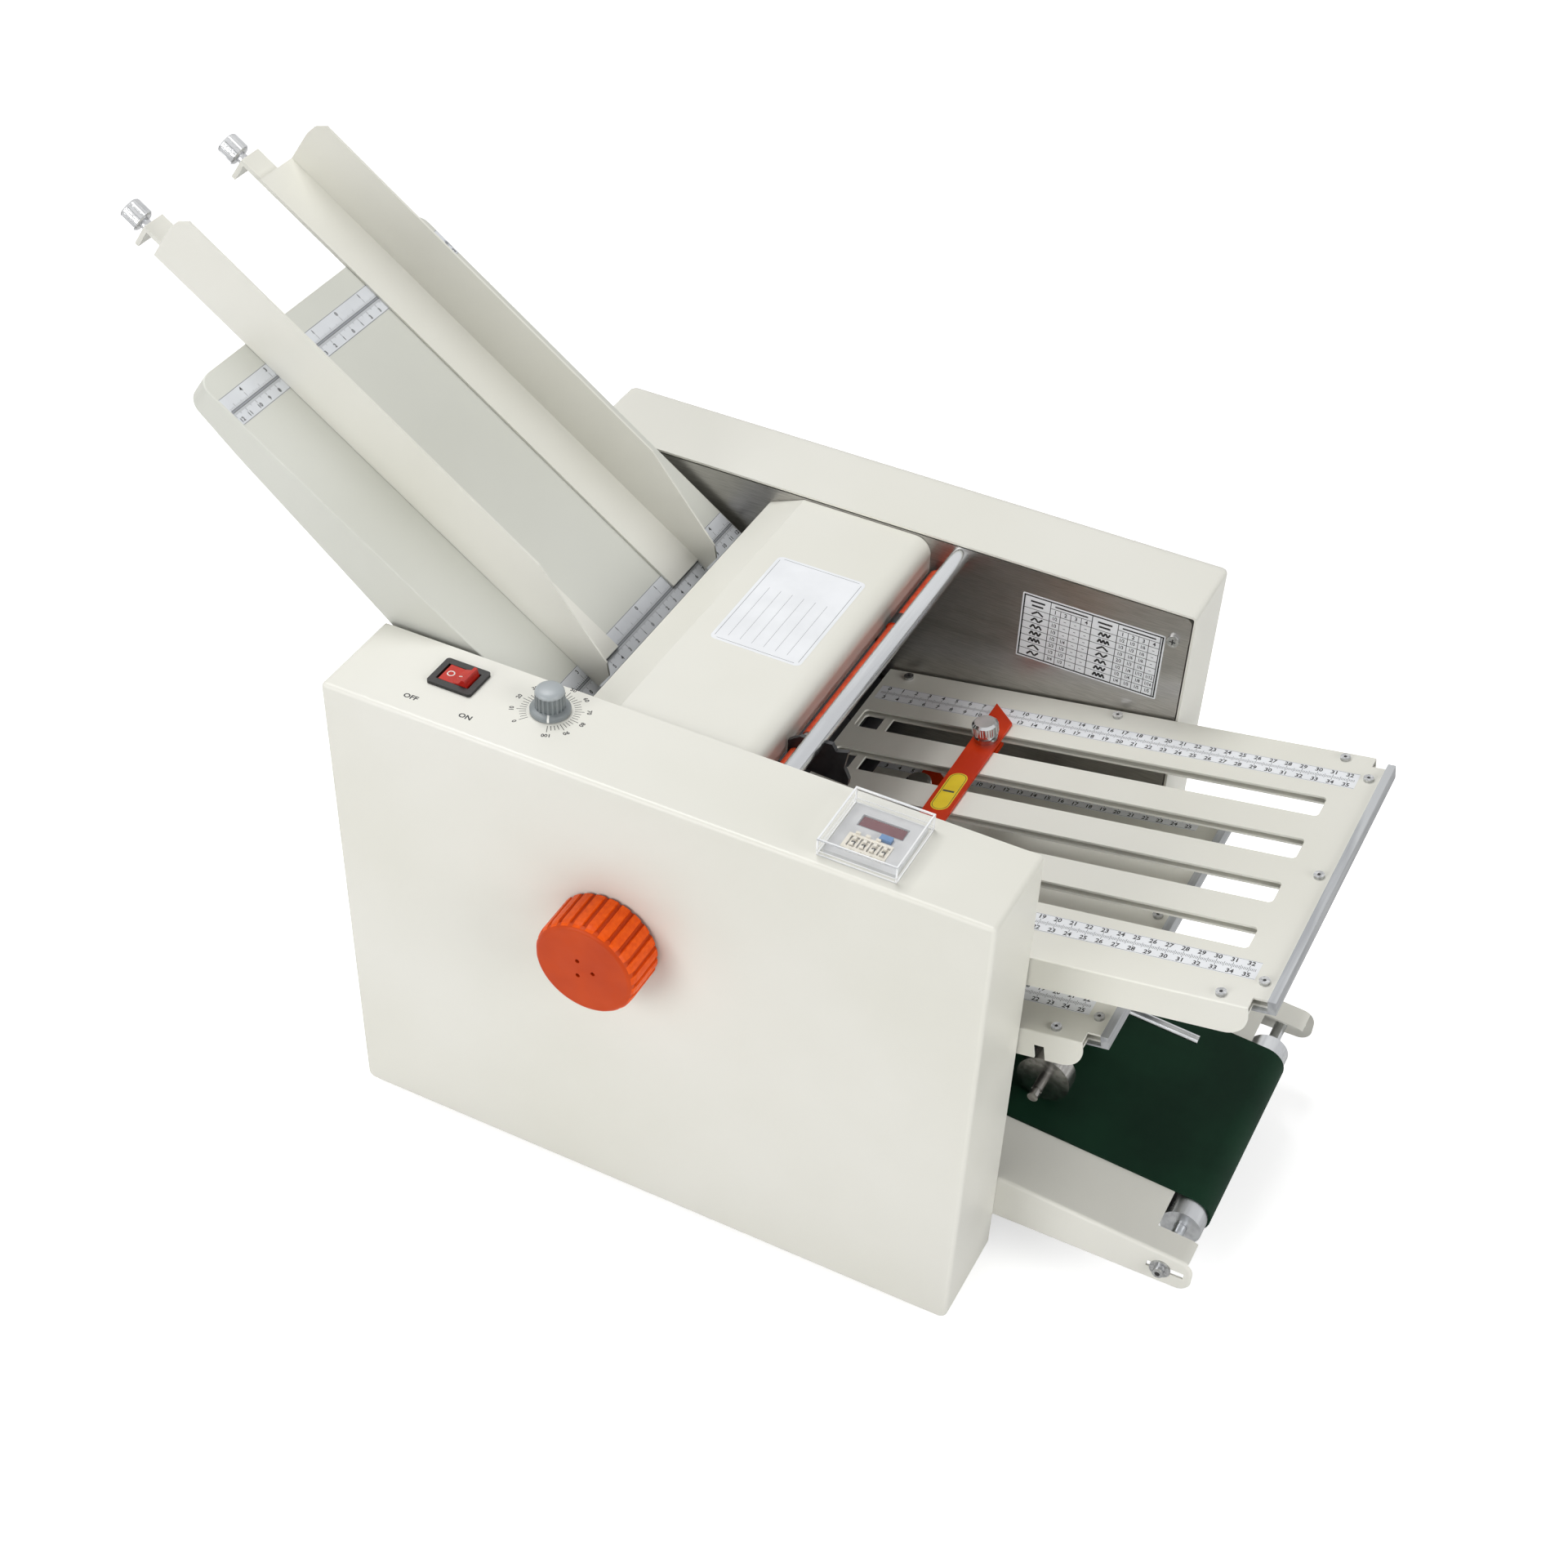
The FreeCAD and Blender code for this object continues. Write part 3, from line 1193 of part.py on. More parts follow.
node("conveyor_belt", loop("flat_belt", ("drive_x", "drive_z"), ("idler_x", "idler_z"), "conv_r",
                           "-belt_half", "2*belt_half", "conv_belt_t"))
node("drive_belts", group("belts", [
    loop("feed_belt", roller_at(1), ("feed_roll_x", "feed_roll_z"), "pulley_r", "belt_y + fit_gap", "belt_t - 2*fit_gap",
         "belt_thick"),
    loop("delivery_belt", roller_at(6), ("drive_x", "drive_z"), "pulley_r", "belt_y + fit_gap", "belt_t - 2*fit_gap",
         "belt_thick"),
    loop("motor_belt", ("motor_x", "motor_z"), roller_at(2), "pulley_r", "motor_y + fit_gap", "belt_t - 2*fit_gap",
         "belt_thick")]))

roller = body("drive_roller_turned")
sk = sketch(roller, "YZ_Plane")
outline(sk, [("-(inner_gap/2 + plate_t + 2)", "0"), ("-(inner_gap/2 + plate_t + 2)", "shaft_r"), ("-conv_roll_half", "shaft_r"),
             ("-conv_roll_half", "conv_r"), ("conv_roll_half", "conv_r"), ("conv_roll_half", "shaft_r")] + pulley("belt_y")
        + [("belt_y + belt_t + 4", "shaft_r"), ("belt_y + belt_t + 4", "0")])
revolve(roller, sk)
node("conveyor_drive_roller", place(roller, ("drive_x", "0", "drive_z")))
idler = body("idler_turned")
sk = sketch(idler, "YZ_Plane")
rect(sk, "-conv_roll_half", "idler_shaft_r + idler_run", "conv_roll_half", "conv_r")
revolve(idler, sk)
node("conveyor_idler_roller", place(idler, ("idler_x", "0", "idler_z")))


# Press arm on the guide rod, with two wheels that hold the folded sheets on the belt

AXLE = "(conv_r + belt_gap + conv_belt_t + fit_gap + wheel_r)"
block = box("arm_body", ("arm_at - arm_block/2", "-arm_block_wide/2", "arm_rod_rise - arm_block/2"),
            ("arm_block", "arm_block_wide", "arm_block"))
leg = box("arm_leg_bar", ("arm_at - arm_leg/2", "-arm_leg/2", AXLE), ("arm_leg", "arm_leg", "arm_rod_rise - " + AXLE))
eye = rod("arm_eye", "Y", ("arm_at", "-arm_block_wide/2", AXLE), "axle_r + 4", "arm_block_wide")
lock = rod("arm_lock", "Z", ("arm_at", "0", "arm_rod_rise + arm_block/2"), "5", "9")
arm = cut("arm_bored", fuse("arm_whole", [block, leg, eye, lock]), [
    rod("arm_bore", "X", ("arm_at - arm_block", "0", "arm_rod_rise"), "arm_rod_r + arm_run", "2*arm_block"),
    rod("eye_bore", "Y", ("arm_at", "-arm_block_wide", AXLE), "axle_r + arm_run", "2*arm_block_wide")])
node("press_arm", place(arm, ("drive_x", "0", "drive_z"), FALL))
press = body("press_turned")
sk = sketch(press, "YZ_Plane")
half_a, half_b = "(wheel_y - wheel_wide/2)", "(wheel_y + wheel_wide/2)"
outline(sk, [("-axle_half", "0"), ("-axle_half", "axle_r"), ("-axle_half + 5", "axle_r"), ("-axle_half + 5", "axle_r - 0.7"),
             ("-axle_half + 7", "axle_r - 0.7"), ("-axle_half + 7", "axle_r"),
             ("-" + half_b, "axle_r"), ("-" + half_b, "wheel_r"), ("-" + half_a, "wheel_r"), ("-" + half_a, "axle_r"),
             (half_a, "axle_r"), (half_a, "wheel_r"), (half_b, "wheel_r"), (half_b, "axle_r"),
             ("axle_half - 7", "axle_r"), ("axle_half - 7", "axle_r - 0.7"), ("axle_half - 5", "axle_r - 0.7"),
             ("axle_half - 5", "axle_r"), ("axle_half", "axle_r"), ("axle_half", "0")])
revolve(press, sk)
x, z = on_belt("arm_at", AXLE)
node("press_roller", place(press, (x, "0", z)))


# Motor on the rear side plate

can = rod("motor_can", "Y", ("motor_x", "inner_gap/2 - motor_long", "motor_z"), "motor_r", "motor_long")
cap = rod("motor_cap", "Y", ("motor_x", "inner_gap/2 - motor_long - 6", "motor_z"), "motor_r - 6", "6")
boss = rod("motor_boss", "Y", ("motor_x", "inner_gap/2 - 1", "motor_z"), "bearing_r", "plate_t + 1")
terminal = box("motor_terminal", ("motor_x - 14", "inner_gap/2 - motor_long + 12", "motor_z + motor_r - 3"), ("28", "34", "15"))
hole = rod("motor_bore", "Y", ("motor_x", "inner_gap/2 - 20", "motor_z"), "motor_shaft_r + shaft_run", "30")
node("motor", cut("motor_bored", fuse("motor_whole", [can, cap, boss, terminal]), [hole]))
wheel = body("motor_pulley_turned")
sk = sketch(wheel, "YZ_Plane")
outline(sk, [("inner_gap/2 - 18", "0"), ("inner_gap/2 - 18", "motor_shaft_r"), ("motor_y - pulley_lip_t - 1", "motor_shaft_r")]
        + [(a, b.replace("shaft_r", "motor_shaft_r")) for a, b in pulley("motor_y")]
        + [("motor_y + belt_t + 4", "motor_shaft_r"), ("motor_y + belt_t + 4", "0")])
revolve(wheel, sk)
node("motor_pulley", place(wheel, ("motor_x", "0", "motor_z")))


# Mains switch, speed dial, batch counter

flange = body("bezel_plate")
sk = sketch(flange, "XY_Plane")
rect(sk, "-bezel_long/2", "-bezel_wide/2", "bezel_long/2", "bezel_wide/2")
pad(flange, sk, "bezel_t")
soften(flange, "2", lambda e: along(e, "z"))
sk = sketch(flange, "XY_Plane")
rect(sk, "-bezel_long/2 + 2", "-bezel_wide/2 + 2", "bezel_long/2 - 2", "bezel_wide/2 - 2")
pad(flange, sk, "switch_deep", back=True)
sk = sketch(flange, "XY_Plane", lift="bezel_t")
rect(sk, "-rocker_long/2 - 0.8", "-rocker_wide/2 - fit_gap", "rocker_long/2 + 0.8", "rocker_wide/2 + fit_gap")
pocket(flange, sk, "bezel_t + rocker_deep + 4")
sk = sketch(flange, "XZ_Plane")
circle(sk, "0", "-pivot_deep", "pivot_r + shaft_run")
pocket(flange, sk, "rocker_wide + 2*pivot_long", mid=True)
node("switch_bezel", place(flange, ("bezel_x", "bezel_y", top_face)))
rocker = body("rocker_key")
sk = sketch(rocker, "XZ_Plane")
outline(sk, [("-rocker_long/2", "-rocker_deep/2 + 3"), ("-rocker_long/4", "-rocker_deep"), ("rocker_long/4", "-rocker_deep"),
             ("rocker_long/2", "-rocker_deep/2 + 3"), ("rocker_long/2", "0"), ("rocker_long/2 - 1.2", "3.2"),
             ("rocker_long/2 - 2", "6.4"),
             ("rocker_long/2 - 4", "6.4"), ("rocker_long/2 - 6", "3.4"), ("0", "2"), ("-rocker_long/2 + 1", "2.2"),
             ("-rocker_long/2", "1")])
pad(rocker, sk, "rocker_wide", mid=True)
sk = sketch(rocker, "XZ_Plane")
circle(sk, "0", "-pivot_deep", "pivot_r")
pad(rocker, sk, "rocker_wide + 2*pivot_long - 0.2", mid=True)
node("switch_rocker", place(rocker, ("bezel_x", "bezel_y", top_face)))

dial = body("dial_turned")
sk = sketch(dial, "XZ_Plane")
base = "fit_gap"
outline(sk, [("0", "-pot_deep + 2"), ("dial_stem_r", "-pot_deep + 2"), ("dial_stem_r", base), ("dial_skirt_r", base),
             ("dial_skirt_r", base + " + dial_skirt_t - 1"), ("dial_skirt_r - 1.5", base + " + dial_skirt_t"),
             ("dial_r", base + " + dial_skirt_t + 0.8"), ("dial_r - 0.6", "dial_high - 2"), ("dial_r - 3", "dial_high"),
             ("0", "dial_high + 0.6")])
revolve(dial, sk, "V_Axis")
sk = sketch(dial, "XY_Plane", lift=base + " + dial_skirt_t + 0.8")
rect(sk, "dial_r - 0.9", "-0.6", "dial_r + 1", "0.6")
polar(dial, pocket(dial, sk, "dial_high - 6 - dial_skirt_t", back=True), sk, "dial_ribs")
node("speed_dial", place(dial, ("dial_x", "dial_y", top_face)))
pot = cut("pot_bored", rod("pot_can", "Z", ("dial_x", "dial_y", top_face + " - cover_wall - pot_deep"), "pot_r", "pot_deep"),
          [rod("pot_bore", "Z", ("dial_x", "dial_y", top_face + " - cover_wall - pot_deep + 1"), "dial_stem_r + 0.1", "pot_deep")])

meter = body("counter_case")
sk = sketch(meter, "XY_Plane")
rect(sk, "-counter_long/2", "-counter_wide/2", "counter_long/2", "counter_wide/2")
pad(meter, sk, "3")
sk = sketch(meter, "XY_Plane")
rect(sk, "-counter_long/2 + counter_lip", "-counter_wide/2 + counter_lip", "counter_long/2 - counter_lip",
     "counter_wide/2 - counter_lip")
pad(meter, sk, "counter_body_deep", back=True)
sk = sketch(meter, "XY_Plane", lift="3")
rect(sk, "-14", "5.5", "14", "14.5")
pocket(meter, sk, "1")
sk = sketch(meter, "XY_Plane", lift="3")
rect(sk, "key_x - key_long/2 - 0.2", "key_y - key_wide/2 - 0.2", "key_x + key_long/2 + 0.2", "key_y + key_wide/2 + 0.2")
pocket(meter, sk, "7.5")
for k in range(4):
    sk = sketch(meter, "XY_Plane", lift="3")
    rect(sk, "%d*preset_step" % (k - 2), "-13.6", "%d*preset_step + 5.2" % (k - 2), "-5")
    pocket(meter, sk, "5")
node("counter_housing", place(meter, ("counter_x", "counter_y", top_face)))
wheels = []
for k in range(4):
    left = "counter_x + %d*preset_step" % (k - 2)
    drum = box("preset_drum", (left + " + 0.2", "counter_y - 13.4", top_face + " - 1.9"), ("4.8", "8.2", "4.4"))
    levers = [box("preset_lever", (left + " + 1.6", "counter_y + " + y, top_face + " + 2.4"), ("2", "2.2", "2"))
              for y in ("-13", "-7.8")]
    wheels.append(fuse("preset", [drum] + levers))
node("preset_wheels", group("presets", wheels))
key = box("reset", ("counter_x + key_x - key_long/2", "counter_y + key_y - key_wide/2", top_face + " + 3 - 5"),
          ("key_long", "key_wide", "5 + key_high"))
node("reset_key", group("reset_button", [key]))
lid_out = box("lid_block", ("counter_x - counter_long/2 - lid_wall - 1", "counter_y - counter_wide/2 - lid_wall - 1.7", top_face),
              ("counter_long + 2*lid_wall + 2", "counter_wide + 2*lid_wall + 3.4", "lid_high"))
lid_in = box("lid_room", ("counter_x - counter_long/2 - 1", "counter_y - counter_wide/2 - 1.7", top_face + " - 1"),
             ("counter_long + 2", "counter_wide + 3.4", "lid_high - lid_wall + 1"))
node("counter_lid", cut("lid", lid_out, [lid_in]))


# Control board behind the front cover, and the power inlet in its left end

board_y = "-" + OUTSIDE + " - 8"
plank = box("board", ("board_x", board_y + " - board_t", "board_z"), ("board_long", "board_t", "board_high"))
legs = [rod("board_post", "Y", ("board_x + " + a, board_y, "board_z + " + b), "post_r", "8")
        for a in ("6", "board_long - 6") for b in ("6", "board_high - 6")]
chips = [box("board_chip", ("board_x + " + a, board_y + " - board_t - chip_high", "board_z + " + b), (c, "chip_high", d))
         for a, b, c, d in (("14", "14", "26", "30"), ("52", "12", "18", "14"), ("52", "36", "40", "20"), ("84", "10", "22", "16"))]
node("control_board", group("electronics", [fuse("board_whole", [plank] + legs + chips), pot]))

inlet = body("inlet_block")
sk = sketch(inlet, "YZ_Plane")
rect(sk, "-inlet_wide/2 - inlet_lip", "-inlet_high/2 - inlet_lip", "inlet_wide/2 + inlet_lip", "inlet_high/2 + inlet_lip")
pad(inlet, sk, "2.5", back=True)
soften(inlet, "3", lambda e: along(e, "x"))
sk = sketch(inlet, "YZ_Plane")
rect(sk, "-inlet_wide/2", "-inlet_high/2", "inlet_wide/2", "inlet_high/2")
pad(inlet, sk, "inlet_deep")
sk = sketch(inlet, "YZ_Plane", lift="-2.5")
outline(sk, [("-inlet_wide/2 + 3", "-inlet_high/2 + 3.5"), ("inlet_wide/2 - 3", "-inlet_high/2 + 3.5"),
             ("inlet_wide/2 - 3", "inlet_high/2 - 8"), ("inlet_wide/2 - 7.5", "inlet_high/2 - 3.5"),
             ("-inlet_wide/2 + 7.5", "inlet_high/2 - 3.5"), ("-inlet_wide/2 + 3", "inlet_high/2 - 8")])
pocket(inlet, sk, "20", back=True)
sk = sketch(inlet, "YZ_Plane")
for y, z in (("-7", "-2"), ("7", "-2"), ("0", "2")):
    rect(sk, y + " - 1", z + " - inlet_pin/2", y + " + 1", z + " + inlet_pin/2")
pad(inlet, sk, "18")
node("power_inlet", place(inlet, ("-cover_long/2", "inlet_y", "inlet_z")))


# Screws: all the fixed ones, one solid each

screws = []


def screw_y(x, z, face, way, shank, length, head=("screw_head_r", "screw_head_t")):
    """A screw along Y: its head stands on the face at the side of way, its shank runs the other way."""
    stem = "%s - (%s)" % (face, length) if way > 0 else face
    crown = face if way > 0 else face + " - " + head[1]
    screws.append(fuse("screw", [rod("screw_head", "Y", (x, crown, z), *head), rod("screw_stem", "Y", (x, stem, z), shank, length)]))


for side in (-1, 1):
    for x, z in COVER_SCREWS:
        screw_y(x, z, "%d*inner_gap/2" % side, -side, "screw_r", "plate_t + lug_deep - 2")
    for x, z in TIE_RODS:
        screw_y(x, z, "%d*%s" % (side, OUTSIDE), side, "screw_r", "plate_t + 9")
    for x, z in FRAME_SCREWS:
        screw_y(x, z, "%d*(skirt_half - skirt_t)" % side, -side, "screw_r", "skirt_t + fit_gap + plate_t")
    for x, z in STUDS:
        collar = ("stud_r", "feed_gap")
        far = "feed_half" if side > 0 else "-inner_gap/2"
        head = "feed_half - feed_t - stud_head_t" if side > 0 else "-feed_half + feed_t"
        stem = "feed_half - feed_t - 1" if side > 0 else "-" + OUTSIDE
        screws.append(fuse("stud", [rod("stud_collar", "Y", (x, far, z), *collar),
                                    rod("stud_head", "Y", (x, head, z), "stud_head_r", "stud_head_t"),
                                    rod("stud_stem", "Y", (x, stem, z), "stud_shank_r", OUTSIDE + " - feed_half + feed_t + 1")]))
    washer = rod("washer", "Y", ("idler_x", "skirt_half" if side > 0 else "-skirt_half - washer_t", "idler_z"),
                 "washer_r", "washer_t")
    tip = rod("idler_screw", "Y", ("idler_x", "skirt_half + washer_t" if side > 0 else "-skirt_half - washer_t - 4", "idler_z"),
              "3.6", "4")
    neck = rod("idler_neck", "Y", ("idler_x", "skirt_half - skirt_t" if side > 0 else "-skirt_half - washer_t", "idler_z"),
               "slide_high/2 - 0.2", "skirt_t + washer_t")
    screws.append(fuse("tension_screw", [washer, tip, neck]))
for i in TRAYS:
    name = TRAYS[i][0]
    spots = [(s, y, "2*tray_gap + 2*tray_t") for s in edge_screws(i) for y in ("-edge_screw_y", "edge_screw_y")]
    spots += [(ruler(i, name + "_long + end_screw_off"), y, "2*tray_gap + 3*tray_t")
              for y in ("-end_screw_y", "0", "end_screw_y")]
    made = []
    for s, y, deep in spots:
        made.append(fuse("tray_screw", [rod("tray_screw_head", "Z", (s, y, "tray_gap + tray_t"), "edge_head_r", "edge_head_t"),
                                        rod("tray_screw_stem", "Z", (s, y, "tray_gap + tray_t - (%s)" % deep),
                                            "edge_screw_r", deep)]))
    screws.append(in_tray(i, group("tray_%d_screws" % i, made)))
node("screws", group("all_screws", screws))

doc.recompute()
bad = [o.Name for o in doc.Objects if "Invalid" in o.State or "Error" in o.State]
if bad:
    raise ValueError("not built: " + ", ".join(bad))
os.makedirs("parts", exist_ok=True)
for obj in nodes:
    if obj.Shape.isNull() or not obj.Shape.isValid() or not obj.Shape.Solids:
        raise ValueError(obj.Label + ": no valid shape")
    obj.Shape.exportStep("parts/%s.step" % obj.Label)
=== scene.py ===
import math

import bmesh
import bpy
from mathutils import Matrix, Vector


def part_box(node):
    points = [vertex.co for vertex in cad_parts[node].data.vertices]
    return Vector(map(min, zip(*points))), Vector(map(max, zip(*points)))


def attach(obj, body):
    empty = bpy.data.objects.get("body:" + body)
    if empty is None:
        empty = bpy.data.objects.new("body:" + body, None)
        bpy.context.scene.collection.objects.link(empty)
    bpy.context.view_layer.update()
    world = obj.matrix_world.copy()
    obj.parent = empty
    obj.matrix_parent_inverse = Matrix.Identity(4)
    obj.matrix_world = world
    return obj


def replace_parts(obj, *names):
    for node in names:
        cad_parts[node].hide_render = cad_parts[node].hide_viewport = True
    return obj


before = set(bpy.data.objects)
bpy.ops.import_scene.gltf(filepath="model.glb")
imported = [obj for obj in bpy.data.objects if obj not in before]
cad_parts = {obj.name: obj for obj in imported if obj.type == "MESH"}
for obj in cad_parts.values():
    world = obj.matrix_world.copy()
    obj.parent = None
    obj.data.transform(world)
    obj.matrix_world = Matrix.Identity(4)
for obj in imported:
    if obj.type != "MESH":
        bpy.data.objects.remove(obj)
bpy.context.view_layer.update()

# The room: a white floor that keeps the machine's soft shadow, white light from all round and three
# large soft lamps. The camera stands high at the operator's right, as one looks down on a desk.


def tint(red, green, blue):
    """A colour in screen values 0 to 255, as the linear values that a shader takes."""
    def linear(c):
        return c / 3294.6 if c <= 10 else ((c / 255 + 0.055) / 1.055) ** 2.4
    return (linear(red), linear(green), linear(blue), 1.0)


WHITE = (1.0, 1.0, 1.0, 1.0)
SKY_STRENGTH = 0.17
FLOOR_GLOW = 0.55
# Each lamp's name, place and aim in metres, width in metres and power in watts.
LAMPS = (("front_lamp", (-1.0, -2.6, 1.2), (0, 0, 0.2), 1.8, 40),
         ("top_lamp", (-1.0, 0.5, 2.85), (0, 0, 0.2), 1.6, 49),
         ("right_lamp", (2.4, -0.7, 1.3), (0.1, 0, 0.2), 1.6, 33))
CAMERA_AT = (0.5190, -1.11175, 1.2884)
CAMERA_TURN, CAMERA_RISE, CAMERA_ROLL = math.radians(25.49), math.radians(43.74), math.radians(2.33)

room = bpy.data.worlds.new("white_room")
bpy.context.scene.world = room
room.use_nodes = True
air = room.node_tree
sky = air.nodes["Background"]
sky.inputs["Color"].default_value = WHITE
sky.inputs["Strength"].default_value = SKY_STRENGTH
seen = air.nodes.new("ShaderNodeBackground")
seen.inputs["Color"].default_value = WHITE
path = air.nodes.new("ShaderNodeLightPath")
pick = air.nodes.new("ShaderNodeMixShader")
direct = path.outputs["Is Camera Ray"]
for kind in ("Is Glossy Ray", "Is Transmission Ray"):
    either = air.nodes.new("ShaderNodeMath")
    either.operation = "MAXIMUM"
    air.links.new(direct, either.inputs[0])
    air.links.new(path.outputs[kind], either.inputs[1])
    direct = either.outputs["Value"]
air.links.new(direct, pick.inputs["Fac"])
air.links.new(sky.outputs["Background"], pick.inputs[1])
air.links.new(seen.outputs["Background"], pick.inputs[2])
air.links.new(pick.outputs["Shader"], air.nodes["World Output"].inputs["Surface"])

for lamp_name, lamp_at, aim, wide, power in LAMPS:
    light = bpy.data.lights.new(lamp_name, "AREA")
    light.shape = "DISK"
    light.size = wide
    light.energy = power
    lamp = bpy.data.objects.new(lamp_name, light)
    bpy.context.scene.collection.objects.link(lamp)
    lamp.location = lamp_at
    lamp.rotation_euler = (Vector(lamp_at) - Vector(aim)).to_track_quat("Z", "Y").to_euler()

ground = bpy.data.meshes.new("white_floor")
ground.from_pydata([(-9, -9, 0), (9, -9, 0), (9, 9, 0), (-9, 9, 0)], [], [(0, 1, 2, 3)])
floor = bpy.data.objects.new("white_floor", ground)
bpy.context.scene.collection.objects.link(floor)
paper = bpy.data.materials.new("white_floor")
paper.use_nodes = True
sheet_shader = paper.node_tree.nodes["Principled BSDF"]
sheet_shader.inputs["Base Color"].default_value = (0.93, 0.93, 0.93, 1.0)
sheet_shader.inputs["Roughness"].default_value = 0.9
sheet_shader.inputs["Specular IOR Level"].default_value = 0.0
sheet_shader.inputs["Emission Color"].default_value = WHITE
glow = paper.node_tree.nodes.new("ShaderNodeLightPath")
lift = paper.node_tree.nodes.new("ShaderNodeMath")
lift.operation = "MULTIPLY"
lift.inputs[1].default_value = FLOOR_GLOW
paper.node_tree.links.new(glow.outputs["Is Camera Ray"], lift.inputs[0])
paper.node_tree.links.new(lift.outputs["Value"], sheet_shader.inputs["Emission Strength"])
ground.materials.append(paper)

back = Vector((math.sin(CAMERA_TURN) * math.cos(CAMERA_RISE), -math.cos(CAMERA_TURN) * math.cos(CAMERA_RISE),
               math.sin(CAMERA_RISE)))
level = Vector((0, 0, 1)).cross(back).normalized()
plumb = back.cross(level)
right = level * math.cos(CAMERA_ROLL) + plumb * math.sin(CAMERA_ROLL)
upward = plumb * math.cos(CAMERA_ROLL) - level * math.sin(CAMERA_ROLL)
lens = bpy.data.cameras.new("camera")
lens.sensor_width = 36
lens.lens = 55.96
lens.shift_x = 0.0111
lens.shift_y = 0.0757
lens.clip_end = 50
camera = bpy.data.objects.new("camera", lens)
bpy.context.scene.collection.objects.link(camera)
camera.matrix_world = Matrix((*zip(right, upward, back, CAMERA_AT), (0, 0, 0, 1)))
bpy.context.scene.camera = camera
bpy.context.scene.view_settings.view_transform = "Standard"


# Front and rear covers: two boxes bent from 1.5 mm sheet steel and powder coated in a warm light grey.
# The coat has a faint orange peel, and the bent edges are softly rounded.


def new_finish(name, colour, rough, metal=0.0):
    """A material with one Principled shader; gives the material, its nodes and the shader."""
    made = bpy.data.materials.new(name)
    made.use_nodes = True
    made.diffuse_color = colour
    shader = made.node_tree.nodes["Principled BSDF"]
    shader.inputs["Base Color"].default_value = colour
    shader.inputs["Roughness"].default_value = rough
    shader.inputs["Metallic"].default_value = metal
    return made, made.node_tree, shader


def clouds(tree, size, stretch=(1, 1, 1), detail=3.0, turned=(0, 0, 0)):
    """Soft noise fixed to the piece: how many clouds a metre, drawn out along an axis by stretch."""
    place = tree.nodes.new("ShaderNodeTexCoord")
    scale = tree.nodes.new("ShaderNodeMapping")
    scale.inputs["Scale"].default_value = stretch
    scale.inputs["Rotation"].default_value = turned
    noise = tree.nodes.new("ShaderNodeTexNoise")
    noise.inputs["Scale"].default_value = size
    noise.inputs["Detail"].default_value = detail
    tree.links.new(place.outputs["Object"], scale.inputs["Vector"])
    tree.links.new(scale.outputs["Vector"], noise.inputs["Vector"])
    return noise.outputs["Fac"]


def mottle(tree, shader, source, dark, light, low=0.35, high=0.65):
    """Two close shades of one colour, spread by the source."""
    ramp = tree.nodes.new("ShaderNodeValToRGB")
    ramp.color_ramp.elements[0].position = low
    ramp.color_ramp.elements[0].color = dark
    ramp.color_ramp.elements[1].position = high
    ramp.color_ramp.elements[1].color = light
    tree.links.new(source, ramp.inputs["Fac"])
    tree.links.new(ramp.outputs["Color"], shader.inputs["Base Color"])
    return ramp.outputs["Color"]


def sheen(tree, shader, source, smooth, rough):
    """A roughness that drifts between two values."""
    span = tree.nodes.new("ShaderNodeMapRange")
    span.inputs["From Min"].default_value = 0.3
    span.inputs["From Max"].default_value = 0.7
    span.inputs["To Min"].default_value = smooth
    span.inputs["To Max"].default_value = rough
    tree.links.new(source, span.inputs["Value"])
    tree.links.new(span.outputs["Result"], shader.inputs["Roughness"])


def relief(tree, shader, source, depth, strength=1.0):
    """Fine relief of the surface, depth in metres."""
    bump = tree.nodes.new("ShaderNodeBump")
    bump.inputs["Distance"].default_value = depth
    bump.inputs["Strength"].default_value = strength
    tree.links.new(source, bump.inputs["Height"])
    tree.links.new(bump.outputs["Normal"], shader.inputs["Normal"])


def dress(finish, *names):
    """Gives CAD nodes their finish."""
    for name in names:
        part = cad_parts[name]
        if not part.material_slots:
            part.data.materials.append(finish)
        for place in part.material_slots:
            place.material = finish


def ease_edges(width, *names):
    """A small rounding on the sharp edges of CAD nodes, so that they catch the light."""
    for name in names:
        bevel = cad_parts[name].modifiers.new("eased_edges", "BEVEL")
        bevel.width = width
        bevel.segments = 2
        bevel.limit_method = "ANGLE"
        bevel.angle_limit = math.radians(35)
        bevel.use_clamp_overlap = True


powder_coat, tree, shader = new_finish("powder_coat", tint(226, 225, 216), 0.42)
mottle(tree, shader, clouds(tree, 5.0), tint(222, 221, 211), tint(227, 226, 218))
sheen(tree, shader, clouds(tree, 14.0), 0.38, 0.46)
relief(tree, shader, clouds(tree, 900.0, detail=2.0), 0.00002, 0.5)
shader.inputs["Coat Weight"].default_value = 0.15
shader.inputs["Coat Roughness"].default_value = 0.25
dress(powder_coat, "front_cover", "rear_cover")
ease_edges(0.0005, "front_cover", "rear_cover")


# Base pan and feet: a zinc-plated sheet pan carries both side plates, and stands on four black
# rubber feet, each held from inside by its own screw.

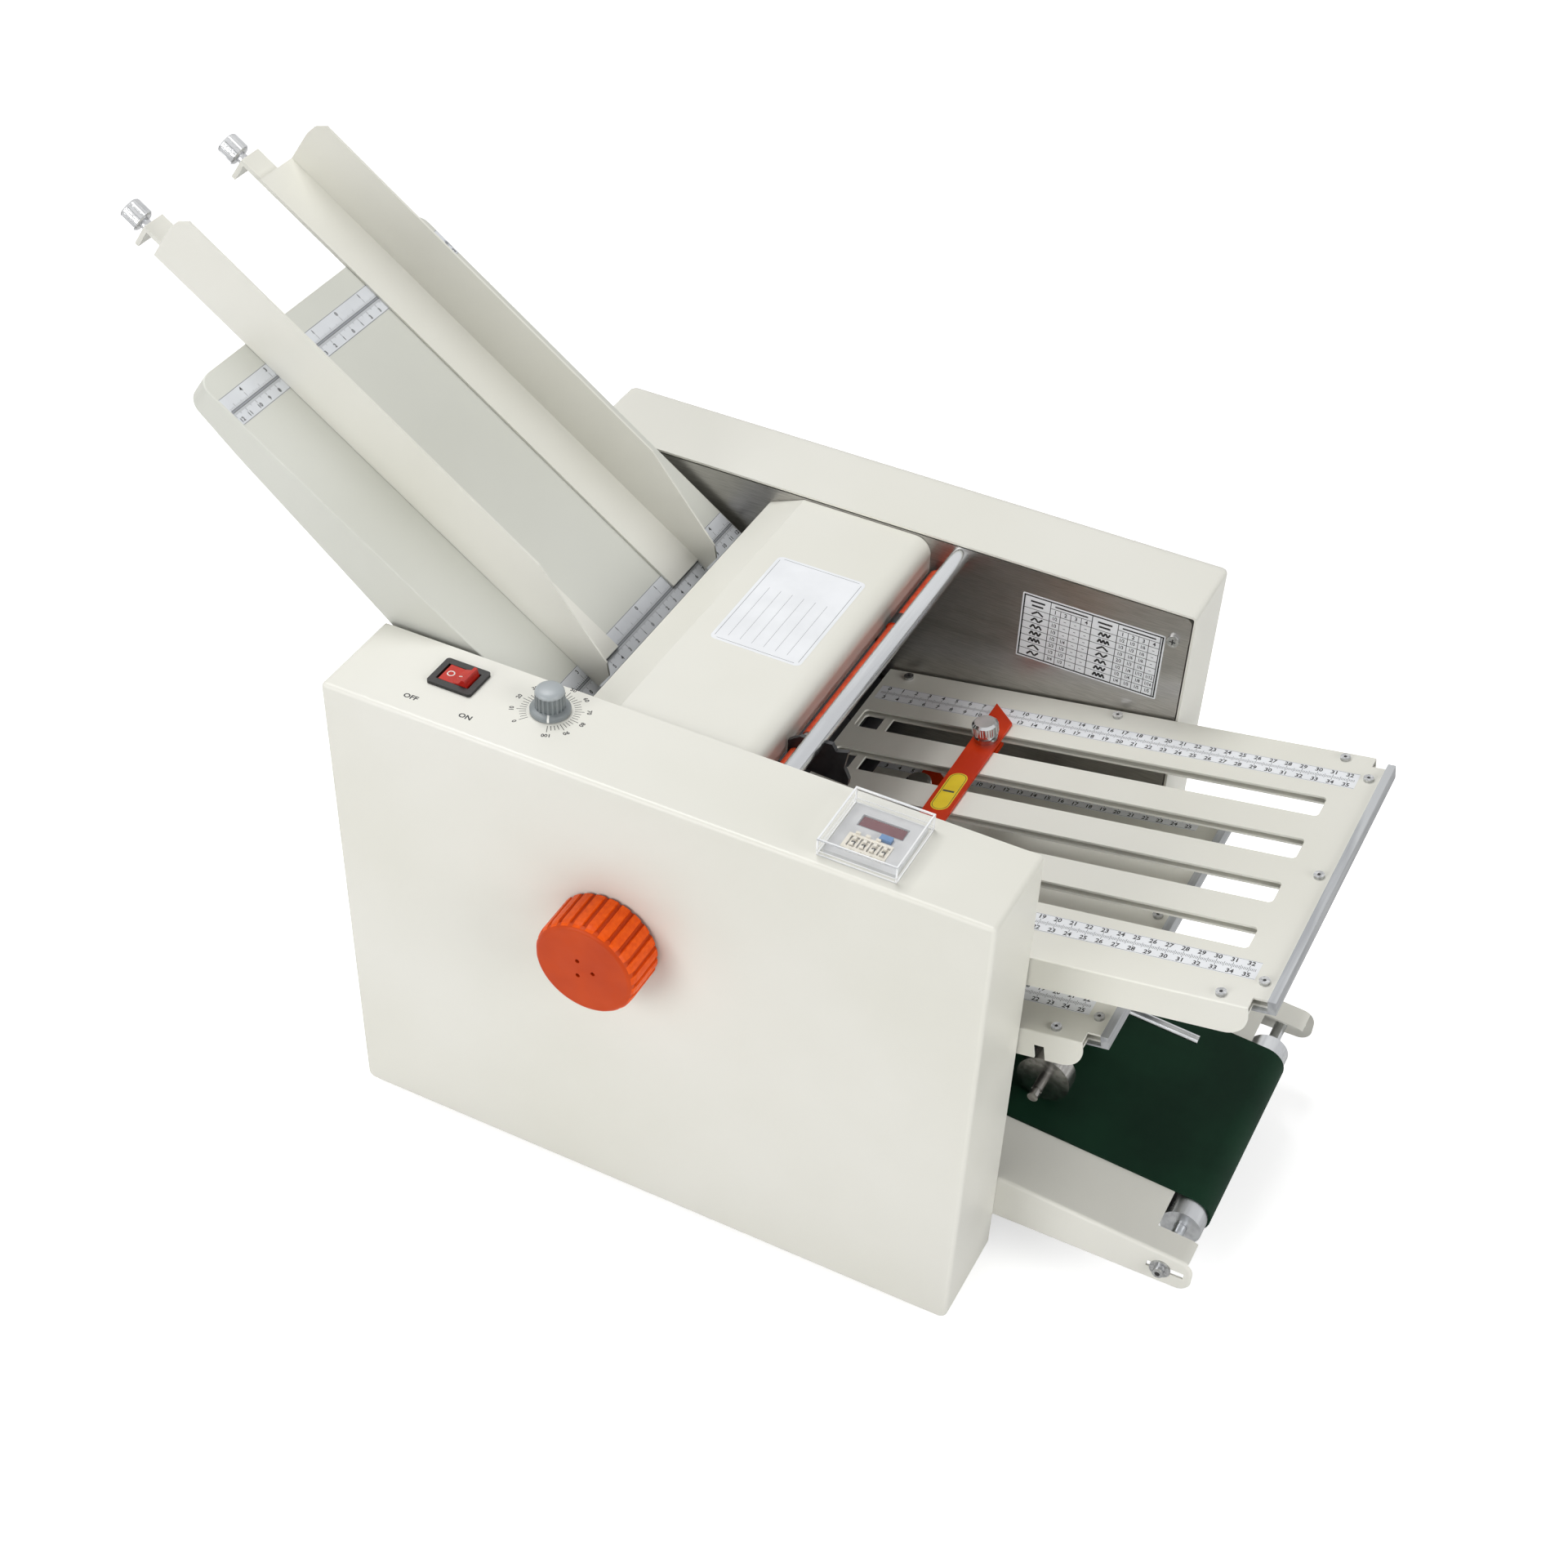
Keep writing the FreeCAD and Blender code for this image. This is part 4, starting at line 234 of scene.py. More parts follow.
zinc, tree, shader = new_finish("zinc_plate", tint(184, 186, 188), 0.36, 1.0)
mottle(tree, shader, clouds(tree, 60.0, detail=5.0), tint(170, 172, 175), tint(200, 201, 203), 0.4, 0.6)
sheen(tree, shader, clouds(tree, 45.0), 0.28, 0.45)
relief(tree, shader, clouds(tree, 1800.0), 0.00001, 0.4)
dress(zinc, "base_pan")
foot_rubber, tree, shader = new_finish("foot_rubber", tint(38, 38, 39), 0.75)
mottle(tree, shader, clouds(tree, 220.0), tint(32, 32, 33), tint(46, 46, 47))
relief(tree, shader, clouds(tree, 2200.0), 0.00003, 0.5)
dress(foot_rubber, "rubber_feet")
ease_edges(0.0006, "rubber_feet")


# Side plates: two 4 mm stainless plates with a lengthwise brushed grain. They carry every shaft,
# tray and rod, and their inner faces show between the covers.

brushed_steel, tree, shader = new_finish("brushed_steel", tint(176, 174, 171), 0.36, 1.0)
lines = clouds(tree, 90.0, (1.0, 20.0, 26.0), 4.0)
mottle(tree, shader, lines, tint(162, 160, 157), tint(188, 186, 183), 0.3, 0.7)
sheen(tree, shader, clouds(tree, 30.0, (0.4, 3.0, 3.0)), 0.30, 0.42)
relief(tree, shader, lines, 0.00001, 0.35)
shader.inputs["Anisotropic"].default_value = 0.5
dress(brushed_steel, "front_side_plate", "rear_side_plate")
ease_edges(0.0004, "front_side_plate", "rear_side_plate")


# Chart on the rear side plate: a printed film with a black frame and two tables of fold
# positions, and small zigzags that show each fold from its edge. It is stuck on the bare steel.


def place_at(x, y, z, across=(1, 0, 0), up=(0, 1, 0)):
    """A place to build on, in mm: its origin, the way its lines read and the way its letters stand."""
    across, up = Vector(across).normalized(), Vector(up).normalized()
    out = across.cross(up)
    return Matrix((*zip(across, up, out, (x, y, z)), (0, 0, 0, 1)))


def piece(name, shape, finishes, body, place=Matrix()):
    """Makes a piece from a shape in mm on its place, and lets it ride on its body."""
    shape.transform(Matrix.Scale(0.001, 4) @ place)
    mesh = bpy.data.meshes.new(name)
    bmesh.ops.recalc_face_normals(shape, faces=shape.faces)
    shape.to_mesh(mesh)
    shape.free()
    for finish in finishes if isinstance(finishes, tuple) else (finishes,):
        mesh.materials.append(finish)
    made = bpy.data.objects.new(name, mesh)
    bpy.context.scene.collection.objects.link(made)
    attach(made, body)
    return made


FILM_THICK = 0.1
PRINT_Z = 0.13
INK = 1
LETTER_HIGH = 0.73


def film(shape, x0, y0, x1, y1, corner=0.0, thick=FILM_THICK, z=0.0, material=0):
    """A thin sheet with rounded corners that lies on the place."""
    rim = []
    for cx, cy, first in ((x1 - corner, y1 - corner, 0), (x0 + corner, y1 - corner, 90),
                          (x0 + corner, y0 + corner, 180), (x1 - corner, y0 + corner, 270)):
        for step in range(7 if corner else 1):
            angle = math.radians(first + (15 * step if corner else 0))
            rim.append((cx + corner * math.cos(angle), cy + corner * math.sin(angle)))
    low = [shape.verts.new((a, b, z)) for a, b in rim]
    high = [shape.verts.new((a, b, z + thick)) for a, b in rim]
    faces = [shape.faces.new(high), shape.faces.new(list(reversed(low)))]
    for k in range(len(rim)):
        after = (k + 1) % len(rim)
        faces.append(shape.faces.new((low[k], low[after], high[after], high[k])))
    for face in faces:
        face.material_index = material


def bar(ink, x0, y0, x1, y1, z=0.0, material=0):
    """One printed bar, flat on the film or surface that carries it."""
    corners = [ink.verts.new(p) for p in ((x0, y0, z), (x1, y0, z), (x1, y1, z), (x0, y1, z))]
    ink.faces.new(corners).material_index = material


def stroke(ink, points, wide, z=0.0, material=0):
    """A printed line through some points, wide mm across."""
    for (xa, ya), (xb, yb) in zip(points, points[1:]):
        long = math.hypot(xb - xa, yb - ya)
        nx, ny = -(yb - ya) / long * wide / 2, (xb - xa) / long * wide / 2
        corners = [ink.verts.new(p) for p in ((xa + nx, ya + ny, z), (xa - nx, ya - ny, z),
                                              (xb - nx, yb - ny, z), (xb + nx, yb + ny, z))]
        ink.faces.new(corners).material_index = material


glyphs = {}


def write(ink, words, x, y, high, z=0.0, turned=0.0, material=0, wide=1.0, heavy=0.012):
    """Prints figures or a word, centred on x and y, with letters that are high mm tall."""
    if (words, heavy) not in glyphs:
        letters = bpy.data.curves.new("letters", "FONT")
        letters.body = words
        letters.align_x = "CENTER"
        letters.align_y = "CENTER"
        letters.resolution_u = 2
        letters.offset = heavy
        carrier = bpy.data.objects.new("letters", letters)
        drawn = bpy.data.meshes.new_from_object(carrier)
        glyphs[words, heavy] = ([tuple(v.co) for v in drawn.vertices],
                                [tuple(p.vertices) for p in drawn.polygons])
        bpy.data.objects.remove(carrier)
        bpy.data.curves.remove(letters)
        bpy.data.meshes.remove(drawn)
    points, faces = glyphs[words, heavy]
    size, c, s = high / LETTER_HIGH, math.cos(math.radians(turned)), math.sin(math.radians(turned))
    corners = [ink.verts.new((x + size * (px * wide * c - py * s), y + size * (px * wide * s + py * c), z))
               for px, py, _ in points]
    for face in faces:
        ink.faces.new([corners[k] for k in face]).material_index = material


white_film, tree, shader = new_finish("white_film", tint(234, 236, 239), 0.38)
mottle(tree, shader, clouds(tree, 40.0), tint(230, 232, 235), tint(237, 239, 242))
black_ink, tree, shader = new_finish("black_ink", tint(30, 30, 32), 0.5)
mottle(tree, shader, clouds(tree, 900.0), tint(24, 24, 26), tint(44, 44, 46))
CHART_LONG, CHART_HIGH = 99, 51.5
COLUMNS_AT, COLUMN, CELL_MIDDLE = 18, 7.25, 3.6
HALF_LONG, HEAD_HIGH = 47, 45
FIRST_ROW, ROW = 40.2, 5.45
# Each half of the chart: where it starts, and its rows of stop settings as parts of the sheet.
HALVES = ((2, ("1/2 – – –", "1/3 – – –", "1/3 – – –", "1/2 1/4 – –", "2/3 1/3 – –", "1/3 1/3 – –",
               "3/4 1/3 – –")),
          (49, ("1/2 1/3 1/6 –", "1/3 1/3 1/6 –", "1/3 1/6 1/6 –", "2/3 1/3 1/6 –", "1/2 1/4 1/12 1/12",
                "1/2 1/4 1/8 1/16", "1/4 1/5 1/5 1/5")))
# Grey bars stand for each half's headings.
HEADINGS = ((4, 45.5, 14, 46.9), (5, 42.3, 13, 43.7), (21, 46.6, 44, 47.7))

chart = bmesh.new()
film(chart, 0, 0, CHART_LONG, CHART_HIGH, 0.8)
for x0, y0, x1, y1 in ((1, 1, 98, 2), (1, 49.5, 98, 50.5), (1, 1, 2, 50.5), (97, 1, 98, 50.5)):
    bar(chart, x0, y0, x1, y1, PRINT_Z, INK)
for left, rows in HALVES:
    for x, wide in ((left + COLUMNS_AT, 0.5), (left + HALF_LONG, 0.6)):
        stroke(chart, [(x, 2), (x, 49.5)], wide, PRINT_Z, INK)
    stroke(chart, [(left + COLUMNS_AT, HEAD_HIGH), (left + HALF_LONG, HEAD_HIGH)], 0.4, PRINT_Z, INK)
    for x0, y0, x1, y1 in HEADINGS:
        bar(chart, left + x0, y0, left + x1, y1, PRINT_Z, INK)
    for column in range(4):
        x = left + COLUMNS_AT + COLUMN * column
        if column:
            stroke(chart, [(x, 2), (x, HEAD_HIGH)], 0.42, PRINT_Z, INK)
        write(chart, str(column + 1), x + CELL_MIDDLE, 42.6, 2.9, PRINT_Z, material=INK, heavy=0.025)
    for row, cells in enumerate(rows):
        level = FIRST_ROW - ROW * row
        stroke(chart, [(left, level), (left + HALF_LONG, level)], 0.4, PRINT_Z, INK)
        for column, cell in enumerate(cells.split()):
            write(chart, cell, left + COLUMNS_AT + COLUMN * column + CELL_MIDDLE, level - 2.6, 2.6, PRINT_Z,
                  material=INK, wide=0.8, heavy=0.025)
        folds = 2 + (row + (3 if left > 2 else 0)) % 5
        zigzag = [(left + 5.5 + 8 * k / folds, level - (1.2 if k % 2 else 4.1)) for k in range(folds + 1)]
        stroke(chart, zigzag, 1.3, PRINT_Z, INK)
chart_at = place_at(105.3, 126.45, 287.8, (1, 0, 0), (0, 0, 1))
piece("fold_chart", chart, (white_film, black_ink), "machine", chart_at)


# Top cover: one bent sheet, coated as the covers are, that lies over the fold rollers between the
# side plates. A blank rating label with ruled lines is stuck on its flat top.

dress(powder_coat, "top_cover")
ease_edges(0.0004, "top_cover")
label = bmesh.new()
film(label, -49, -31.5, 49, 31.5, 4.0)
for x0, y0, x1, y1 in ((-45, 29, 45, 29.3), (-45, -29.3, 45, -29), (-47, -27, -46.7, 27), (46.7, -27, 47, 27)):
    bar(label, x0, y0, x1, y1, PRINT_Z, INK)
for line in range(6):
    level = 19.5 - 8.2 * line
    bar(label, -15, level, 42, level + 0.2, PRINT_Z, INK)
pale_ink, tree, shader = new_finish("pale_ink", tint(120, 122, 126), 0.5)
mottle(tree, shader, clouds(tree, 900.0), tint(108, 110, 114), tint(136, 138, 142))
label_at = place_at(-9.5, 12.25, 356.62, (0, -1, 0), (1, 0, 0))
piece("blank_rating_label", label, (white_film, pale_ink), "machine", label_at)


# Cross rods and guide bar: turned and plated tie rods hold the side plates apart. Beside the top
# cover lies a round bar with an orange-red sleeve, a steel clamp and a black bracket. A black band
# near the bar's far end is painted shadow, the shade in a gap of the sleeve.

rod_plate, tree, shader = new_finish("rod_plate", tint(200, 202, 204), 0.2, 1.0)
mottle(tree, shader, clouds(tree, 120.0, (1, 0.05, 1)), tint(194, 196, 199), tint(208, 210, 212), 0.4, 0.6)
sheen(tree, shader, clouds(tree, 60.0), 0.16, 0.24)
dress(rod_plate, "cross_rods")


# Where along the bar, in metres, the painted shadow of the sleeve's gap lies, and where the steel clamp lies.
GAP_SHADE_Y = (0.054, 0.066)
CLAMP_Y = (-0.082, -0.069)
# The bracket's side view, x and z in mm.
BRACKET = ((40, 325), (40, 342), (48, 348), (69.2, 350.3), (72.1, 345.8), (80.1, 348.4), (77.9, 335.9),
           (81.7, 327.8), (81.1, 323))
BRACKET_Y, BRACKET_HALF = -85, 1.5


def banded(tree, bounds, axis="Y"):
    """1 where the piece lies between two places along an axis, in metres, and 0 elsewhere."""
    place = tree.nodes.new("ShaderNodeTexCoord")
    parts = tree.nodes.new("ShaderNodeSeparateXYZ")
    tree.links.new(place.outputs["Object"], parts.inputs["Vector"])
    sides = []
    for operation, bound in zip(("GREATER_THAN", "LESS_THAN"), bounds):
        side = tree.nodes.new("ShaderNodeMath")
        side.operation = operation
        side.inputs[1].default_value = bound
        tree.links.new(parts.outputs[axis], side.inputs[0])
        sides.append(side)
    both = tree.nodes.new("ShaderNodeMath")
    both.operation = "MULTIPLY"
    tree.links.new(sides[0].outputs["Value"], both.inputs[0])
    tree.links.new(sides[1].outputs["Value"], both.inputs[1])
    return both.outputs["Value"]


def overlay(tree, shader, mask, under, over):
    """Puts a second colour over the first one where the mask is 1; gives the joined colour."""
    mix = tree.nodes.new("ShaderNodeMix")
    mix.data_type = "RGBA"
    tree.links.new(mask, mix.inputs["Factor"])
    if isinstance(under, tuple):
        mix.inputs["A"].default_value = under
    else:
        tree.links.new(under, mix.inputs["A"])
    mix.inputs["B"].default_value = over
    tree.links.new(mix.outputs["Result"], shader.inputs["Base Color"])
    return mix.outputs["Result"]


sleeve, tree, shader = new_finish("orange_sleeve", tint(214, 74, 28), 0.4)
skin = mottle(tree, shader, clouds(tree, 180.0), tint(200, 62, 22), tint(220, 80, 34))
# The black band near the bar's far end is painted shadow: the shade in a gap of the sleeve.
skin = overlay(tree, shader, banded(tree, GAP_SHADE_Y), skin, tint(28, 28, 30))
overlay(tree, shader, banded(tree, CLAMP_Y), skin, tint(150, 150, 148))
relief(tree, shader, clouds(tree, 1500.0), 0.00001, 0.4)
dress(sleeve, "guide_bar")
black_nylon, tree, shader = new_finish("black_nylon", tint(30, 30, 32), 0.42)
mottle(tree, shader, clouds(tree, 160.0), tint(26, 26, 28), tint(38, 38, 40))
relief(tree, shader, clouds(tree, 1600.0), 0.00001, 0.4)
bracket = bmesh.new()
near, far = [[bracket.verts.new((x, z, n)) for x, z in BRACKET] for n in (-BRACKET_HALF, BRACKET_HALF)]
bracket.faces.new(near)
bracket.faces.new(far)
for k in range(len(BRACKET)):
    after = (k + 1) % len(BRACKET)
    bracket.faces.new((near[k], near[after], far[after], far[k]))
piece("bar_bracket", bracket, black_nylon, "machine", place_at(0, BRACKET_Y, 0, (1, 0, 0), (0, 0, 1)))


# Fold rollers: six steel rollers one above the other, grooved across and wrapped with a grey grip
# coat, each with its shaft, gear and, on two of them, a belt pulley behind the rear plate.

grip, tree, shader = new_finish("roller_grip", tint(86, 86, 88), 0.5, 0.6)
GRIP_Y = (-0.1241, 0.1241)
overlay(tree, shader, banded(tree, GRIP_Y), tint(158, 158, 156), tint(74, 75, 78))
sheen(tree, shader, clouds(tree, 300.0), 0.36, 0.56)
relief(tree, shader, clouds(tree, 2600.0, (1, 0.3, 1)), 0.00004, 0.6)
dress(grip, *("fold_roller_%d" % number for number in range(1, 7)))
shaft_steel, tree, shader = new_finish("shaft_steel", tint(158, 158, 156), 0.26, 1.0)
mottle(tree, shader, clouds(tree, 200.0, (1, 0.08, 1)), tint(140, 140, 138), tint(176, 176, 174), 0.4, 0.6)
dress(shaft_steel, "feed_shaft", "hand_shaft")
dress(black_nylon, "bushings")


# Feed roller: three dark rubber tyres, lightly ribbed along their width, on one turned shaft. The
# separator pad presses from below, and two bent sheets lead the paper into the first nip.

tyre_rubber, tree, shader = new_finish("tyre_rubber", tint(46, 44, 43), 0.68)
mottle(tree, shader, clouds(tree, 150.0), tint(38, 36, 35), tint(56, 54, 52))
relief(tree, shader, clouds(tree, 700.0, (1, 0.1, 1)), 0.00015, 0.8)
dress(tyre_rubber, "feed_tyres", "separator_pad")
dress(brushed_steel, "infeed_guides")


# Hand knob: moulded orange plastic with 24 ribs round its rim and three small blind holes in its
# face. Its fine matt grain is rubbed a little smoother in places. Its ribs are a brighter orange
# than its body: painted light on the rim.

orange_plastic, tree, shader = new_finish("orange_plastic", tint(192, 65, 6), 0.46)
mottle(tree, shader, clouds(tree, 24.0), tint(185, 60, 5), tint(200, 70, 8))
shader.inputs["Specular IOR Level"].default_value = 0.22
sheen(tree, shader, clouds(tree, 90.0), 0.42, 0.54)
relief(tree, shader, clouds(tree, 1400.0), 0.00002, 0.4)
dress(orange_plastic, "hand_knob")
ease_edges(0.0004, "hand_knob")
RIBS = 24
KNOB_X, KNOB_Z = -22.81, 240.249
KNOB_R = 33.0
# A rib's sections: distance from the knob's back, radius of the top, half width in degrees.
RIB_SECTIONS = ((1.0, 34.5, 4.7), (26.5, 34.5, 4.7), (29.5, 34.0, 4.4), (31.0, 33.1, 4.0))

ribs = bmesh.new()
for k in range(RIBS):
    middle = 360 / RIBS * (k + 0.5)
    stations = []
    for along, top, half in RIB_SECTIONS:
        section = ((KNOB_R, -half - 0.9), (top, -half), (top + 0.1, 0), (top, half), (KNOB_R, half + 0.9))
        angles = [math.radians(middle + offset) for _, offset in section]
        stations.append([ribs.verts.new((r * math.cos(angle), r * math.sin(angle), along))
                         for (r, _), angle in zip(section, angles)])
    for one, other in zip(stations, stations[1:]):
        for i in range(5):
            j = (i + 1) % 5
            ribs.faces.new((one[i], one[j], other[j], other[i]))
    ribs.faces.new(stations[0])
    ribs.faces.new(stations[-1])
# The ribs' brighter orange is painted light on the knob's rim, not a colour of their own.
lit_rib_orange, tree, shader = new_finish("lit_rib_orange", tint(226, 82, 3), 0.42)
mottle(tree, shader, clouds(tree, 300.0), tint(219, 76, 2), tint(232, 89, 6))
shader.inputs["Specular IOR Level"].default_value = 0.2
knob_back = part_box("hand_knob")[1].y * 1000
piece("knob_ribs", ribs, lit_rib_orange, "hand_crank", place_at(KNOB_X, knob_back, KNOB_Z, (1, 0, 0), (0, 0, 1)))


# Feed table and side guides: coated steel sheets bent at the edges. The table slopes down to the
# feed roller. Two strips of white film with a centimetre and an inch scale run across it.

# The table's coat is a darker, cooler copy of the covers' coat: painted shade on its slope, which faces away from the
# light. Its bent corners take the same painted shade.
shaded_table_coat, tree, shader = new_finish("shaded_table_coat", tint(207, 208, 200), 0.44)
mottle(tree, shader, clouds(tree, 5.0), tint(202, 203, 194), tint(210, 211, 203))
sheen(tree, shader, clouds(tree, 14.0), 0.40, 0.48)
relief(tree, shader, clouds(tree, 900.0, detail=2.0), 0.00002, 0.5)
dress(shaded_table_coat, "feed_table")
dress(powder_coat, "near_side_guide", "far_side_guide")
ease_edges(0.0004, "feed_table", "near_side_guide", "far_side_guide")
FALL = math.radians(35)
TABLE_X, TABLE_Z = -318.3, 471.1
CORNER_Y, CORNER_UP = 111.5, 24.7
CORNER_OUT, CORNER_IN = 9.95, 8.5
SCALE_HALF, SCALE_WIDE = 120.5, 21.0
GROOVE = (9.4, 10.6)
INCH = 25.4


def slope_xz(s, n):
    """The x and z of a point s mm down the table's slope and n mm over it."""
    return (TABLE_X + s * math.cos(FALL) + n * math.sin(FALL), TABLE_Z - s * math.sin(FALL) + n * math.cos(FALL))


def on_table(s, n=0.0):
    """A place on the feed table, s mm down its slope, where letters stand up the slope."""
    x, z = slope_xz(s, n)
    return place_at(x, 0, z, (0, 1, 0), (-math.cos(FALL), 0, math.sin(FALL)))


for side, end in ((-1, "near"), (1, "far")):
    wrap, rows = bmesh.new(), []
    for step in range(9):
        angle, deep = math.radians(11.25 * step), 16 + 3 * step / 8
        section = ((CORNER_OUT, -0.8), (CORNER_OUT, -deep), (CORNER_IN, -deep), (CORNER_IN, -0.8))
        rows.append([wrap.verts.new((side * (CORNER_Y + r * math.sin(angle)), CORNER_UP + r * math.cos(angle), n))
                     for r, n in section])
    for one, other in zip(rows, rows[1:]):
        for k in range(4):
            wrap.faces.new((one[k], one[(k + 1) % 4], other[(k + 1) % 4], other[k]))
    wrap.faces.new(rows[0])
    wrap.faces.new(rows[-1])
    piece("%s_table_corner" % end, wrap, shaded_table_coat, "machine", on_table(0))
scale_film, tree, shader = new_finish("scale_film", tint(216, 219, 223), 0.36)
mottle(tree, shader, clouds(tree, 40.0), tint(211, 214, 218), tint(220, 223, 227))
groove_ink, tree, shader = new_finish("groove_ink", tint(150, 153, 158), 0.5)
mottle(tree, shader, clouds(tree, 900.0), tint(142, 145, 150), tint(158, 161, 166))
for strip, low_edge in (("upper_table_scale", 2.9), ("lower_table_scale", 268.0)):
    scale = bmesh.new()
    film(scale, -SCALE_HALF, 0, SCALE_HALF, SCALE_WIDE, 0.6)
    for y0, y1 in ((0.15, 0.4), (20.6, 20.85), (9.1, GROOVE[0]), (GROOVE[1], 10.9)):
        bar(scale, -120.3, y0, 120.3, y1, PRINT_Z, INK)
    bar(scale, -120.3, GROOVE[0], 120.3, GROOVE[1], 0.12, 2)
    for reading in range(-120, 121):
        long = 3.6 if reading % 10 == 0 else 2.6 if reading % 5 == 0 else 1.7
        bar(scale, reading - 0.12, 9.1 - long, reading + 0.12, 9.1, PRINT_Z, INK)
        if reading % 10 == 0:
            write(scale, str(abs(reading) // 10), min(max(reading, -118), 118), 3.0, 2.9, PRINT_Z,
                  material=INK, heavy=0.025)
    for part in range(-75, 76):
        long = 4.4 if part % 16 == 0 else 3.2 if part % 8 == 0 else 2.2 if part % 4 == 0 else 1.6
        x = part * INCH / 16
        bar(scale, x - 0.12, 10.9, x + 0.12, 10.9 + long, PRINT_Z, INK)
        if part % 16 == 0:
            write(scale, str(abs(part) // 16), x, 17.9, 2.9, PRINT_Z, material=INK, heavy=0.025)
    piece(strip, scale, (scale_film, black_ink, groove_ink), "machine", on_table(low_edge, 0.01))


# Clamp screws: knurled steel thumb screws in the guides' lugs, nickel plated. They lock the guides
# against the table's bent top edge.

nickel, tree, shader = new_finish("nickel_plate", tint(206, 207, 208), 0.16, 1.0)
mottle(tree, shader, clouds(tree, 90.0), tint(196, 197, 198), tint(214, 215, 216))
sheen(tree, shader, clouds(tree, 200.0), 0.10, 0.24)
knurl, tree, shader = new_finish("knurled_nickel", tint(200, 201, 203), 0.22, 1.0)
mottle(tree, shader, clouds(tree, 90.0), tint(190, 191, 193), tint(210, 211, 212))
relief(tree, shader, clouds(tree, 1100.0, detail=0.0), 0.00025, 0.9)
dress(knurl, "near_clamp_screw", "far_clamp_screw")


CLAMP_S, CLAMP_N, CLAMP_SIDE = -132.3, -9.2, 50


def ribbed(name, body, inner, outer, start, end, count, place, finish):
    """A ring of straight pointed ribs that stands on a turned head, for the fingers to grip."""
    ring = bmesh.new()
    for k in range(count):
        corners = [(r * math.cos(math.tau * (k + turn) / count), r * math.sin(math.tau * (k + turn) / count))
                   for r, turn in ((inner, -0.3), (outer, 0.0), (inner, 0.3))]
        low = [ring.verts.new((x, y, start)) for x, y in corners]
        high = [ring.verts.new((x, y, end)) for x, y in corners]
        ring.faces.new(low)
        ring.faces.new(high)
        for i in range(3):
            j = (i + 1) % 3
            ring.faces.new((low[i], low[j], high[j], high[i]))
    piece(name, ring, finish, body, place)


for side, body in ((-1, "near_clamp"), (1, "far_clamp")):
    x, z = slope_xz(CLAMP_S, CLAMP_N)
    head_at = place_at(x, side * CLAMP_SIDE, z, (0, side, 0),
                       (-math.sin(FALL) * side, 0, -math.cos(FALL) * side))
    ribbed(body + "_ribs", body, 7.4, 8.1, 1.2, 11.8, 24, head_at, nickel)


# Fold trays: each is two slotted coated plates, 3 mm apart on pressed bosses, with a plated end
# strip. The upper plates carry white film rulers in centimetres, which start at the nip and at 3.

dress(powder_coat, "tray_1_upper_plate", "tray_1_lower_plate", "tray_3_upper_plate", "tray_3_lower_plate",
      "left_tray_plates")
ease_edges(0.0003, "tray_1_upper_plate", "tray_3_upper_plate", "left_tray_plates")
strip_metal, tree, shader = new_finish("strip_aluminium", tint(160, 162, 164), 0.42, 1.0)
mottle(tree, shader, clouds(tree, 140.0, (1, 0.06, 1)), tint(148, 150, 153), tint(172, 174, 176), 0.4, 0.6)
dress(strip_metal, "tray_end_strips")
ease_edges(0.0003, "tray_end_strips")
LEAN = math.radians(9.73)
# Each tray's nip, x and z in mm; then the way it points along x, and how far from its nip it starts.
NIPS = {1: (-2.507, 236.062), 2: (2.478, 206.987), 3: (7.464, 177.911), 4: (12.450, 148.836)}
TRAYS = {1: (1, 30.6), 3: (1, 26.9), 2: (-1, 26.9), 4: (-1, 26.9)}
LAST_CENTIMETRE = {1: 32, 3: 22, 2: 17, 4: 14}
RULER_HALF = 7.8


def on_tray(number, s, n, y=0.0):
    """A place on a tray, s mm from its nip and n mm over its middle, where letters stand towards the rear."""
    nip_x, nip_z = NIPS[number]
    c, r = math.cos(LEAN), math.sin(LEAN)
    return place_at(nip_x + s * c - n * r, y, nip_z + s * r + n * c, (c, 0, r), (0, 1, 0))


for tray, (way, zero) in TRAYS.items():
    last = LAST_CENTIMETRE[tray]
    for side, middle in (("far", 97.0), ("near", -93.0)):
        scale = bmesh.new()
        start, end = sorted((-6.3 * way, (last * 10 + 6.0) * way))
        film(scale, start, -RULER_HALF, end, RULER_HALF, 0.5)
        for y0, y1 in ((7.3, 7.5), (-7.5, -7.3)):
            bar(scale, start + 0.2, y0, end - 0.2, y1, PRINT_Z, INK)
        for reading in range(-4, last * 10 + 5):
            long = 2.9 if reading % 10 == 0 else 2.0 if reading % 5 == 0 else 1.1
            bar(scale, way * reading - 0.13, -long, way * reading + 0.13, long, PRINT_Z, INK)
            if reading % 10 == 0:
                for more, y in ((0, 5.0), (3, -5.0)):
                    write(scale, str(reading // 10 + more), way * reading, y, 3.5, PRINT_Z, material=INK, heavy=0.028)
        piece("tray_%d_%s_ruler" % (tray, side), scale, (white_film, black_ink), "machine",
              on_tray(tray, way * zero, 3.01, middle))


# Stop bars: orange painted steel bars across the trays, cut to a point over the ruler, with fingers
# that reach through the slots. Each has a yellow oval with its number and a nickel thumb screw.

